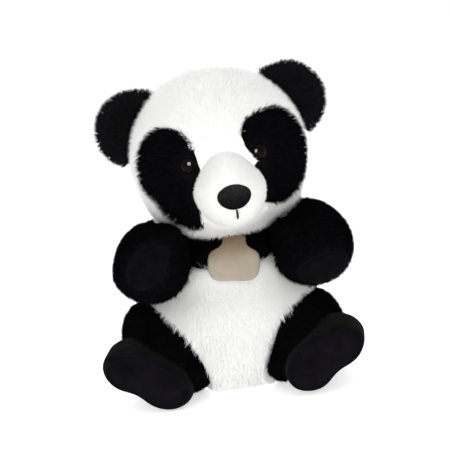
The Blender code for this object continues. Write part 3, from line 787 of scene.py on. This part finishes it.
def build_tail():
    dirs, quads = quad_sphere(10)
    points = placed(dirs * TAIL_RADII + TAIL_CENTRE, TORSO)
    skin = make("tail_skin", points, quads, WHITE_SKIN)
    pile, roots, normals = scatter(skin, "tail")
    roots, normals = chosen(in_torso(roots) < 0.0, roots, normals)
    away = roots - placed(np.array([TAIL_CENTRE]), TORSO) * [1, 1, 1.15]
    grow("tail_pile", "torso", pile, roots, normals, away + [0, 0, -0.004], pile.length)
    padded(skin, "torso", "white_pile", 0.7, "tail")


# ---- Head ----


def head_point(x, z):
    """The head's front surface at x and z in its own frame, and the way it faces."""
    a, b, c = HEAD_RADII
    y = -b * math.sqrt(1.0 - (x / a) ** 2 - (z / c) ** 2)
    return Vector((x, y, z)), Vector((x / a**2, y / b**2, z / c**2)).normalized()


def eye_place(side):
    return np.array(head_point(EYE_X * side, EYE_Z)[0])


def patch_frame(side):
    """The eye patch's flat frame: X across the patch, away from the nose, Y up it and Z out of the face."""
    yaw = math.radians(PATCH_YAW)
    aim = (math.sin(yaw) * side, -math.cos(yaw), 0.0)
    return aimed(mirrored(PATCH_CENTRE, side), aim, PATCH_TILT * side)


def patch_reach(angle, side):
    """How far the patch's cloth reaches at an angle of its oval: its cut corners and notches."""
    reach = np.ones_like(angle)
    for middle, spread, extra in PATCH_CUTS[side]:
        off = (np.degrees(angle) - middle + 180) % 360 - 180
        reach += extra * np.exp(-((off / spread) ** 2))
    return reach


def patch_share(local, side):
    """How far out in the eye patch's outline each point of the head's frame is; 1 is the outline."""
    x, y, z = placed(local, patch_frame(side).inverted()).T
    across, up = x / PATCH_HALF_WIDTH, y / PATCH_HALF_HEIGHT
    share = np.hypot(across, up) / patch_reach(np.arctan2(up, across), side)
    return np.where(z > -0.02, share, 9.0)


def muzzle_share(local, spare=0.0):
    """Each point's distance from the muzzle's middle, as a share of its radii."""
    return np.linalg.norm((local - MUZZLE_CENTRE) / (MUZZLE_RADII + spare), axis=1)


def jaw(local):
    """How far the stuffing fills out the jaw and the muzzle's seam, for points of the plain oval head."""
    share = smooth((-local[:, 2] - 0.016) / 0.022) * smooth((0.004 - local[:, 1]) / 0.03)
    seam = smooth((1.45 - muzzle_share(local)) / 0.38)
    for side in SIDES.values():
        from_eye = np.linalg.norm(local - eye_place(side), axis=1)
        seam = seam * smooth((from_eye - 0.006) / 0.01)
    outward = unit(local / HEAD_RADII**2)
    return share[:, None] * JAW_FILL + seam[:, None] * outward * SEAM_FILL


def build_head_skin():
    dirs, quads = quad_sphere(30)
    local = dirs * HEAD_RADII
    normals = unit(dirs / HEAD_RADII)
    dent = np.zeros(len(local))
    for side in SIDES.values():
        dent += 0.0012 * smooth((1.02 - patch_share(local, side)) / 0.1)
    local = local - normals * dent[:, None] + jaw(local)
    local += normals * waves(local, 0.06, 3)[:, :1] * 0.0005
    world = placed(local, HEAD)
    world[:, 2] += np.maximum(HEAD_BOTTOM_Z - world[:, 2], 0.0) * 0.85
    skin = make("head_skin", world, quads, WHITE_SKIN)
    return padded(skin, "head", "white_pile", 0.85, "head_cover", "head_stuffing")


def head_flow(local, cheek):
    """The pile's lie on the head: away from the bridge of the nose, and down over the cheeks and the back."""
    flow = unit(local - np.array([0.0, -0.055, 0.004]))
    flow = flow + np.array([0.0, 0.15, -0.25]) + cheek[:, None] * [0.0, -0.45, -0.5]
    back = smooth((local[:, 1] - 0.005) / 0.035)[:, None]
    crown = smooth(local[:, 2] / 0.02 + 0.5)[:, None]
    flow = flow * (1.0 - back) + back * ([0.0, 0.0, -1.2] + crown * [0.0, 1.0, 0.0])
    return turned(flow + waves(local, 0.04, 8) * 0.3, HEAD)


def build_head_pile(skin):
    pile, roots, normals = scatter(skin, "head")
    local = in_head_frame(roots)
    keep = muzzle_share(local, -0.001) > 1.0
    wedge = 0.1 * (muzzle_share(local) < 1.35)
    from_neck = np.linalg.norm(roots[:, :2] - np.array(NECK_CENTRE)[:2], axis=1)
    keep &= (roots[:, 2] > HEAD_BOTTOM_Z + 0.001) | (from_neck > NECK_RADIUS + 0.009)
    for side in SIDES.values():
        keep &= patch_share(local, side) > 1.0 + wedge
        ear = (local - np.array(mirrored(EAR_CENTRE, side))) / (EAR_RADII + [-0.004, -0.002, -0.004])
        keep &= np.linalg.norm(ear, axis=1) > 1.0
    roots, normals, local = chosen(keep, roots, normals, local)
    x, y, z = local.T
    cheek = smooth((-z - 0.01) / 0.03)
    flow = head_flow(local, cheek)
    length = pile.length * (1.0 + 0.45 * cheek)
    length = length * (1.0 - 0.3 * smooth((HEAD_BOTTOM_Z + 0.014 - roots[:, 2]) / 0.012))
    length = length * (1.0 - 0.45 * smooth((1.55 - muzzle_share(local)) / 0.45))
    from_tuft = np.linalg.norm(local - eye_place(1) + [0.011, 0.0, -0.003], axis=1)
    tuft = smooth((0.0065 - from_tuft) / 0.003)
    flow = flow * (1 - tuft)[:, None] + turned(np.array([[0.9, 0.0, -0.5]]), HEAD) * 2 * tuft[:, None]
    length = length + 0.0035 * tuft
    left, face, lower = x > 0, y < 0.0, z <= -0.004
    for name, mine in {
        "forehead_pile": face & ~lower,
        "cheek_pile_left": face & lower & left,
        "cheek_pile_right": face & lower & ~left,
        "back_of_head_pile_left": ~face & left,
        "back_of_head_pile_right": ~face & ~left,
    }.items():
        grow(name, "head", pile, *chosen(mine, roots, normals, flow, length, pile.lean - 5 * cheek))


def build_patch(word, side):
    flat_frame = patch_frame(side)
    axis = np.array(flat_frame)[:3, 2] / HEAD_RADII

    def lift(x, y):
        """Where a line along the patch's aim meets the head."""
        flat = np.stack([x, y, np.zeros_like(x)], -1).reshape(-1, 3)
        start = placed(flat, flat_frame) / HEAD_RADII
        b = start @ axis
        c = dot(start, start) - 1.0
        a = axis @ axis
        t = (-b + np.sqrt(np.maximum(b * b - a * c, 0.0))) / a
        points = start * HEAD_RADII + (t[:, None] * axis) * HEAD_RADII
        normals = unit(points / HEAD_RADII**2)
        shape = (*x.shape, 3)
        points = placed(points + normals * 0.0003 + jaw(points), HEAD)
        return points.reshape(shape), turned(normals, HEAD).reshape(shape)

    angle = ring(72)
    outline = oval(angle, PATCH_HALF_WIDTH, PATCH_HALF_HEIGHT) * (patch_reach(angle, side)[:, None] * 0.985)
    skin = polar_shell(f"eye_patch_skin_{word}", outline, lift, 22, 0.0022, 0.002, BLACK_SKIN)
    finish(skin, "head", "black_pile", f"eye_patch_{word}")
    pile, roots, normals = scatter(skin, "patch")
    local = in_head_frame(roots)
    eye = eye_place(side)
    from_eye = np.linalg.norm(local - eye, axis=1)
    outward = dot(normals, turned(unit(local / HEAD_RADII**2), HEAD)) > 0.3
    keep = outward & (from_eye > EYE_RADIUS * 0.7)
    keep &= (in_head(local - jaw(local)) < 0.012) & (muzzle_share(local, -0.001) > 1.0)
    roots, normals, local, from_eye = chosen(keep, roots, normals, local, from_eye)
    flow = unit(local - eye) * 0.7 + np.array([0.45 * side, 0.0, -0.25])
    flow = turned(flow + waves(local, 0.03, 14) * 0.3, HEAD)
    length = pile.length * (0.45 + 0.55 * smooth((from_eye - 0.005) / 0.01))
    length = length * (1.0 - 0.5 * smooth((1.4 - muzzle_share(local)) / 0.35))
    grow(f"eye_patch_pile_{word}", "head", pile, roots, normals, flow, length)


def build_muzzle():
    """The muzzle: narrower at the top, with its pile cut away for the nose and the stitch."""
    dirs, quads = quad_sphere(20)
    local = dirs * (MUZZLE_RADII - 0.0008)
    local[:, 0] *= (1.0 - 0.2 * smooth((dirs[:, 2] + 0.1) / 0.9)) * 0.98
    local[:, 2] *= np.where(local[:, 2] > 0, 0.95, 1.0)
    local = local + MUZZLE_CENTRE
    local += unit(dirs / MUZZLE_RADII) * waves(local, 0.05, 31)[:, :1] * 0.0003
    skin = make("muzzle_skin", placed(local, HEAD), quads, MUZZLE_SKIN)
    padded(skin, "head", "short_white_pile", 0.9, "muzzle_cover")
    pile, roots, normals = scatter(skin, "muzzle")
    local = in_head_frame(roots)
    nose = (local - np.array([0, MUZZLE_FRONT_Y, NOSE_Z])) / [0.012, 0.008, 0.0088]
    x, y, z = local.T
    on_stitch = (np.abs(x) < 0.001) & (y < -0.06)
    on_stitch &= (z > STITCH_TOP_Z - STITCH_LENGTH) & (z < STITCH_TOP_Z + 0.004)
    keep = (in_head(local) < 0.03) & (np.linalg.norm(nose, axis=1) > 1.0) & ~on_stitch
    roots, normals, local = chosen(keep, roots, normals, local)
    flow = turned(unit(local - np.array([0.0, -0.09, -0.02])) + [0, 0, -0.1], HEAD)
    grow("muzzle_pile", "head", pile, roots, normals, flow, pile.length)


def build_eye(word, side):
    """A domed plastic eye with a rolled edge, in a frame of its own so that the iris stays centred."""
    point, normal = head_point(EYE_X * side, EYE_Z)
    dome = [(EYE_RADIUS * math.sin(a), EYE_HEIGHT * math.cos(a)) for a in np.arange(1, 13) / 12 * math.pi / 2]
    profile = [*dome, (EYE_RADIUS, -0.0006), (EYE_RADIUS * 0.94, -0.001), (0.0022, -0.001), (0.002, -0.01)]
    turns = ring(40)
    rows = [np.column_stack([oval(turns, r, r), np.full(len(turns), z)]) for r, z in profile]
    verts = np.concatenate([*rows, [[0.0, 0.0, EYE_HEIGHT], [0.0, 0.0, profile[-1][1]]]])
    eye = make(f"eye_dome_{word}", verts, ring_faces(len(rows), len(turns)), EYE)
    eye.matrix_world = HEAD @ aimed(point - normal * 0.0008, normal)
    finish(eye, "head", "eye_plastic", f"eye_{word}")


def build_nose():
    """The flocked nose: wider at the top, with a dimple at each nostril and a notch in its underside."""
    dirs, quads = quad_sphere(22)
    local = dirs * NOSE_RADII * [1.0, 1.12, 0.97]
    x, y, z = local.T
    height = z / NOSE_RADII[2]
    x *= 1.0 + NOSE_WIDENING * 0.5 * np.clip(height, -1.2, 0.6)
    z -= 0.001 * smooth(height) * (x / NOSE_RADII[0]) ** 2 * 0.5
    for side in SIDES.values():
        off = np.hypot(x - 0.005 * side, z + 0.0035)
        y += 0.001 * np.exp(-((off / 0.0022) ** 2)) * (y < 0)
    z += 0.0003 * np.exp(-((x / 0.002) ** 2)) * smooth(-height)
    local += unit(dirs) * waves(local, 0.0016, 4)[:, :1] * 0.00005
    tip = np.array([0.0, MUZZLE_FRONT_Y - NOSE_STANDS_OUT + 0.0012, NOSE_Z])
    nose = make("nose_flocked", placed(local + tip, HEAD), quads, FLOCK)
    finish(nose, "head", "nose_flock", "nose")


def build_stitch():
    """The upright stitch under the nose: a thread of two strands that sinks into the pile at its ends."""
    steps, around = 26, 8
    t = np.linspace(0, 1, steps)
    z = STITCH_TOP_Z - STITCH_LENGTH * t
    sag = np.sqrt(1.0 - ((z - MUZZLE_CENTRE[2]) / MUZZLE_RADII[2]) ** 2)
    stands_out = 0.0009 - 0.0016 * np.abs(2 * t - 1) ** 6
    y = MUZZLE_CENTRE[1] - MUZZLE_RADII[1] * sag - stands_out
    line = np.stack([0.0003 * np.sin(3.0 * t), y, z], -1)
    along = unit(np.gradient(line, axis=0))
    across = unit(np.cross(along, [1.0, 0.0, 0.0]))
    other = np.cross(along, across)
    angle, row = ring(around), np.arange(steps)[:, None]
    radius = THREAD_RADIUS * (1.0 + 0.22 * np.cos(2 * angle + row * 0.9))
    radius = radius * (0.35 + 0.65 * smooth(np.minimum(row, steps - 1 - row) / 3.0))
    out_x, out_y = (radius * np.cos(angle))[..., None], (radius * np.sin(angle))[..., None]
    verts = line[:, None] + across[:, None] * out_x + other[:, None] * out_y
    faces = grid_quads(steps, around, 0, True).tolist()
    faces.append(list(range(around))[::-1])
    faces.append([(steps - 1) * around + k for k in range(around)])
    thread = make("mouth_thread", placed(verts.reshape(-1, 3), HEAD), faces, THREAD)
    finish(thread, "head", "thread", "mouth_stitch")


def build_ear(word, side):
    """A flat stuffed ear, a little cupped in front, that follows the head's curve at its base."""
    dirs, quads = quad_sphere(20)
    local = dirs * (EAR_RADII - [0.0022, 0.0, 0.0026])
    x, y, z = dirs.T
    rim = np.hypot(x, z)
    local[:, 1] += 0.0022 * (1.0 - smooth(rim / 0.9)) * (y < 0) - 0.003 * smooth((rim - 0.3) / 0.7)
    local[:, 0] *= np.where(x < 0, 1.16, 1.0)
    local = local * [side, 1, 1] + np.array(mirrored(EAR_CENTRE, side))
    head_radii = HEAD_RADII + EAR_CLEARANCE
    local /= np.minimum(np.linalg.norm(local / head_radii, axis=1), 1.0)[:, None]
    skin = make(f"ear_skin_{word}", placed(local, HEAD), quads, BLACK_SKIN)
    padded(skin, f"ear_{word}", "black_pile", 0.5, f"ear_front_{word}", f"ear_back_{word}")
    pile, roots, normals = scatter(skin, "ear")
    local = in_head_frame(roots)
    keep = np.linalg.norm(local / head_radii, axis=1) > 1.015
    roots, normals, local = chosen(keep, roots, normals, local)
    middle = np.array(mirrored(EAR_CENTRE, side)) * [0.86, 1.0, 0.86]
    flow = turned(unit(local - middle) * [1, 0.3, 1] + waves(local, 0.03, 17) * 0.25, HEAD)
    grow(f"ear_pile_{word}", f"ear_{word}", pile, roots, normals, flow, pile.length)


def build_neck():
    dirs, quads = quad_sphere(10)
    neck = make("neck_skin", dirs * NECK_RADIUS + np.array(NECK_CENTRE), quads, BLACK_SKIN)
    finish(neck, "neck", "black_pile", "neck_core")


def build_head():
    build_head_pile(build_head_skin())
    build_muzzle()
    build_nose()
    build_stitch()
    for word, side in SIDES.items():
        build_patch(word, side)
        build_eye(word, side)
        build_ear(word, side)


# ---- Arms ----


def capsule(n, start, end, start_radius, end_radius):
    """A round-ended, tapered body: a sphere whose halves are moved apart."""
    dirs, quads = quad_sphere(n)
    start, end = np.array(start), np.array(end)
    axis = Vector(end - start)
    share = 0.5 + 0.5 * np.clip(dirs[:, 2] * 2.5, -1, 1)
    radius = start_radius + (end_radius - start_radius) * share**2
    points = dirs * radius[:, None]
    points[:, 2] = dirs[:, 2] * radius + axis.length * share
    turn = axis.to_track_quat("Z", "X").to_matrix().to_4x4()
    return placed(points, Matrix.Translation(Vector(start)) @ turn), quads


def paw_shape(points, word):
    """The paws as stuffed: pressed in, or filled out where the share is below 0, along each direction."""
    for direction, start, share in PAW_SHAPE[word]:
        direction = np.array(direction)
        past = np.maximum((points - np.array(PAW[word])) @ direction - start, 0.0)
        points = points - direction * past[..., None] * share
    return points


def arm_skin(word, side):
    """The arm: filled out on top towards the head, flat against the body, and held down under the cheek."""
    points, quads = capsule(24, SHOULDER[word], PAW[word], ARM_RADIUS - ARM_INSET, ARM_RADIUS - ARM_INSET)
    points = points + waves(points, 0.06, 40 + side) * 0.0006
    x, y, z = points.T
    top = smooth((z - PAW[word][2]) / 0.02) * smooth((0.055 - x * side) / 0.016)
    z += 0.006 * top
    x -= 0.005 * side * top
    inner = ARM_PLANE_X - 0.03 * smooth((ARM_FRONT_Y + 0.004 - y) / 0.012)
    x[:] = np.maximum(x * side, inner) * side
    z -= np.maximum(0.0005 - under_cheek(points), 0.0)
    skin = make(f"arm_skin_{word}", paw_shape(points, word), quads, BLACK_SKIN)
    return padded(skin, f"arm_{word}", "black_pile", 0.8, f"arm_cover_{word}", f"arm_stuffing_{word}")


def build_paw_pad(word, place):
    half_width, half_height = PAW_PAD_RADII

    def lift(x, y):
        """The paw's round end, a little swollen in the middle of the pad."""
        share = np.hypot(x / half_width, y / half_height)
        radius = ARM_RADIUS + 0.0016 + 0.0014 * (1.0 - smooth(share))
        z = np.sqrt(np.maximum(radius**2 - x**2 - y**2, 0.0))
        world = placed(np.stack([x, y, z], -1), place)
        return paw_shape(world, word), unit(world - np.array(PAW[word]))

    outline = oval(-ring(56), half_width, half_height) * 1.04
    pad = polar_shell(f"paw_pad_suede_{word}", outline, lift, 16, 0.0035, 0.0028, PAD)
    finish(pad, f"arm_{word}", "black_suede", f"paw_pad_{word}")


def build_arm(word, side):
    skin = arm_skin(word, side)
    pad_place = aimed(PAW[word], PAW_PAD_AIM[word], PAW_PAD_ROLL[word])
    build_paw_pad(word, pad_place)
    pile, roots, normals = scatter(skin, "arm")
    flat = placed(roots, pad_place.inverted()) / [*PAW_PAD_RADII, 1.0]
    share = np.hypot(flat[:, 0], flat[:, 1])
    keep = (share > 1.0) | (flat[:, 2] < 0.0)
    keep &= (in_torso(roots) < 0.002) & (in_head(in_head_frame(roots)) < 0.0)
    keep &= (roots[:, 0] * side > ARM_PLANE_X + 0.001) | (roots[:, 1] < ARM_FRONT_Y)
    room = under_cheek(roots)
    keep &= room > -0.0005
    roots, normals, share, flat, room = chosen(keep, roots, normals, share, flat, room)
    along = unit(np.array(PAW[word]) - np.array(SHOULDER[word]))
    flow = along * 0.35 + np.array([0.25 * side, 0, -0.7]) + waves(roots, 0.035, 50 + side) * 0.5
    near_pad = smooth((1.7 - share) / 0.7) * (flat[:, 2] > 0.0)
    away = unit(turned(flat * [*PAW_PAD_RADII, 0.0], pad_place))
    flow = flow * (1 - near_pad)[:, None] + away * near_pad[:, None]
    length = pile.length * (1.0 - 0.4 * near_pad) * np.clip(room / 0.004, 0.6, 1.0)
    grow(f"arm_pile_{word}", f"arm_{word}", pile, roots, normals, flow, length)


# ---- Legs ----


def foot_outline(angle, depth, side):
    """The foot's outline at a depth (-1 at the sole's side, 1 at the ankle's): a bean, toe at angle 0."""
    power = 4.0 if depth < 0 else 2.3
    fullness = (1.0 - np.abs(depth) ** power) ** (1.0 / power)
    c, s = np.cos(angle), np.sin(angle)
    x = np.sign(c) * np.abs(c) ** 0.92 * FOOT_HALF_LENGTH * np.where(c < 0, HEEL_LENGTH[side], 1.0)
    z = np.sign(s) * np.abs(s) ** 0.92 * FOOT_HALF_HEIGHT
    z = np.where(s > 0, z * (1.0 + FOOT_INSTEP * (0.5 + 0.5 * depth)), z)
    arch = 0.0045 * np.exp(-(((x - 0.004) / 0.013) ** 2)) * (s < 0) * np.abs(s) ** 0.5
    return x * fullness, (z + arch) * fullness


def foot_place(side):
    mirror = Matrix.Diagonal((side, 1.0, 1.0, 1.0))
    return TORSO @ mirror @ Matrix.Translation(FOOT_CENTRE) @ rotation(-FOOT_ROLL, "Y")


def in_foot(points, side):
    """Above 0 inside the foot, as a share of its size."""
    x, y, z = placed(points, foot_place(side).inverted()).T
    depth = y / FOOT_HALF_DEPTH
    rise = 1.0 + FOOT_INSTEP * (0.5 + 0.5 * np.clip(depth, -1, 1)) * (z > 0)
    share = np.hypot(x / FOOT_HALF_LENGTH, z / (FOOT_HALF_HEIGHT * rise))
    return 1.0 - (share**4 + depth**4) ** 0.25


def build_foot(word, side):
    """The foot and its sole. The rows of the foot start inside its turned edge at the sole."""
    place = foot_place(side)
    angles = ring(96)
    rim = (SOLE_Y - FOOT_CENTRE[1]) / FOOT_HALF_DEPTH
    edge = [(rim + 0.11, 0.8), (rim + 0.035, 0.9), (rim, 0.945), (rim + 0.01, 0.985)]
    sides = [(depth, 1.0) for depth in (*np.linspace(rim + 0.05, 0.8, 22), 0.88, 0.94, 0.98)]
    rows = []
    for depth, share in edge + sides:
        x, z = foot_outline(angles, depth, side)
        rows.append(np.stack([x * share, np.full(len(angles), depth * FOOT_HALF_DEPTH), z * share], -1))
    verts = np.concatenate(rows)
    verts += waves(verts, 0.03, 60 + side) * 0.00035
    verts = np.concatenate([verts, [rows[0].mean(0)], [[0.0, FOOT_HALF_DEPTH, 0.006]]])
    skin = make(f"foot_skin_{word}", placed(verts, place), ring_faces(len(rows), len(angles)), UPPER)
    padded(skin, f"leg_{word}", "black_suede", 0.8, f"foot_cover_{word}")

    def lift(u, v):
        """The sole's plane, a little swollen."""
        share = np.hypot(u / FOOT_HALF_LENGTH, v / FOOT_HALF_HEIGHT)
        y = SOLE_Y - FOOT_CENTRE[1] - 0.0016 * (1.0 - smooth(share)) + 0.0004
        world = placed(np.stack([u, y, v], -1), place)
        return world, np.broadcast_to(turned(np.array([0.0, -1.0, 0.0]), place), world.shape)

    outline = np.stack(foot_outline(angles, rim, side), -1) * 0.955
    sole = polar_shell(f"sole_suede_{word}", outline, lift, 20, 0.003, 0.0022, SUEDE)
    finish(sole, f"leg_{word}", "black_suede", f"sole_{word}")


def swell(points, side):
    """Fills the thigh out over the hip, and low down towards the belly."""
    x, y, z = placed(points, TORSO.inverted()).T
    top = smooth((z - 0.03) / 0.03) * smooth((y + 0.05) / 0.03)
    low = smooth((0.034 - z) / 0.022) * smooth((0.056 - x * side) / 0.02) * smooth((-y - 0.005) / 0.02)
    move = top[:, None] * [-0.0045 + 0.001 * side, -0.003, 0.002]
    return turned(move + low[:, None] * [-0.012 * side, -0.004, 0.0], TORSO)


def build_leg(word, side):
    radii = HIP_RADIUS - THIGH_INSET[side], ANKLE_RADIUS - ANKLE_INSET
    points, quads = capsule(22, mirrored(HIP, side), mirrored(ANKLE_SKIN, side), *radii)
    points = placed(points, TORSO)
    points = points + waves(points, 0.06, 70 + side) * 0.0006 + swell(points, side)
    points[:, 2] = np.maximum(points[:, 2], 0.0006)
    short = np.minimum(past_leg_seam(points, side) - 0.0003, 0.0)
    points = points - leg_plane_normal(side) * short[:, None]
    skin = make(f"thigh_skin_{word}", points, quads, BLACK_SKIN)
    padded(skin, f"leg_{word}", "black_pile", 0.8, f"thigh_cover_{word}", f"leg_stuffing_{word}")
    pile, roots, normals = scatter(skin, "thigh")
    keep = (in_foot(roots, side) < 0.02) & (past_leg_seam(roots, side) > 0.0008) & (roots[:, 2] > 0.004)
    keep &= in_arm(roots, word) < 0.0
    roots, normals = chosen(keep, roots, normals)
    flow = np.array([0.35 * side, -0.45, -0.6]) + waves(roots, 0.035, 80 + side) * 0.5
    low = above_floor(roots)
    flow[:, 2] *= 0.15 + 0.85 * low
    out = smooth(past_leg_seam(roots, side) / 0.012)
    flow = flow + leg_plane_normal(side) * (1.0 - out)[:, None]
    length = pile.length * (0.5 + 0.5 * low) * (0.5 + 0.5 * out)
    grow(f"thigh_pile_{word}", f"leg_{word}", pile, roots, normals, flow, length)
    build_foot(word, side)


# ---- Label ----


def build_label():
    half = [np.array(p) for p in LABEL_OUTLINE]
    corners = half + [p * [-1, 1] for p in reversed(half[1:-1])]
    count = len(corners)
    outline = np.concatenate([
        spline(*(corners[(n + k) % count] for k in (-1, 0, 1, 2)), 8) for n in range(count)
    ])
    turn = Matrix.Translation(LABEL_TOP) @ rotation(90 - LABEL_LEAN, "X") @ rotation(-LABEL_ROLL, "Z")

    def lift(x, y):
        """The hanging cloth: curved round the chest and a little inward at its free end."""
        drop = -(y + LABEL_MIDDLE[1])
        z = -7.0 * x**2 + 0.0018 * np.sin(drop / 0.035 * math.pi) + 0.0008
        world = placed(np.stack([x, y + LABEL_MIDDLE[1], z], -1), turn)
        return world, np.broadcast_to(turned(np.array([0.0, 0.0, 1.0]), turn), world.shape)

    ring_line = outline - np.array(LABEL_MIDDLE)
    label = polar_shell("label_cloth_tag", ring_line, lift, 14, 0.0013, 0.001, LABEL_CLOTH)
    finish(label, "label", "label_cloth", "label")


# ---- Stage ----


def build_world():
    """A white sky, a little brighter to the camera than to the toy."""
    world = bpy.data.worlds.new("studio")
    bpy.context.scene.world = world
    world.use_nodes = True
    tree = world.node_tree
    white = (1.0, 1.0, 1.0, 1.0)
    tree.nodes["Background"].inputs["Color"].default_value = white
    tree.nodes["Background"].inputs["Strength"].default_value = 0.74
    seen = node(tree, "ShaderNodeBackground", {"Color": white, "Strength": 1.0})[0]
    is_camera = node(tree, "ShaderNodeLightPath", {})["Is Camera Ray"]
    skies = {"Fac": is_camera, 1: tree.nodes["Background"].outputs[0], 2: seen}
    mixed = node(tree, "ShaderNodeMixShader", skies)[0]
    tree.links.new(mixed, tree.nodes["World Output"].inputs["Surface"])


def build_floor():
    pale = principled("pale_floor", (0.9, 0.9, 0.9), 0.9, 0.0)
    glow = pale.node_tree.nodes["Principled BSDF"].inputs
    glow["Emission Color"].default_value = (1.0, 1.0, 1.0, 1.0)
    glow["Emission Strength"].default_value = 0.55
    verts = [(x * FLOOR_SIZE, y * FLOOR_SIZE, 0.0) for x, y in ((-1, -1), (1, -1), (1, 1), (-1, 1))]
    make("floor", verts, [[0, 1, 2, 3]], pale)


def build_lamps():
    """Soft lamps that reflections don't show, and a sparkle that only reflections show."""
    for name, place, energy, width in (
        ("key", (-0.45, -0.85, 0.95), 2.0, 0.9),
        ("fill", (0.95, -0.7, 0.45), 1.0, 0.9),
        ("top", (0.0, 0.2, 1.2), 3.5, 1.0),
        ("rear", (0.0, 1.25, 0.35), 6.0, 1.1),
        ("front", (0.0, -1.25, 0.2), 10.5, 1.1),
        ("sparkle", (-0.16, -1.0, 0.5), 90.0, 0.6),
    ):
        lamp = bpy.data.lights.new(name, "AREA")
        lamp.energy = energy
        lamp.size = width
        ob = linked(name, lamp)
        ob.location = place
        ob.rotation_euler = (Vector(LAMPS_AIM) - Vector(place)).to_track_quat("-Z", "Y").to_euler()
        ob.visible_camera = False
        ob.visible_glossy = name == "sparkle"
        ob.visible_diffuse = name != "sparkle"


def build_camera():
    elevation = math.radians(CAMERA_ELEVATION)
    camera = bpy.data.cameras.new("camera")
    camera.sensor_width = 36.0
    camera.lens = camera.sensor_width * CAMERA_DISTANCE / CAMERA_VIEW_WIDTH
    back = Vector((0.0, -math.cos(elevation), math.sin(elevation)))
    turn = (-back).to_track_quat("-Z", "Y").to_matrix().to_4x4()
    place = Matrix.Translation(Vector(CAMERA_TARGET) + back * CAMERA_DISTANCE)
    ob = linked("camera", camera)
    ob.matrix_world = place @ turn @ rotation(CAMERA_ROLL, "Z")
    bpy.context.scene.camera = ob
    bpy.context.scene.view_settings.view_transform = "Standard"


build_world()
build_floor()
build_lamps()
build_camera()
build_torso()
build_neck()
build_head()
for side_word, side_sign in SIDES.items():
    build_arm(side_word, side_sign)
    build_leg(side_word, side_sign)
build_label()

for washer in ("eye_washer_left", "eye_washer_right", "nose_washer"):
    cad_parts[washer].data.materials.clear()
    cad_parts[washer].data.materials.append(WASHER)

bpy.context.view_layer.update()
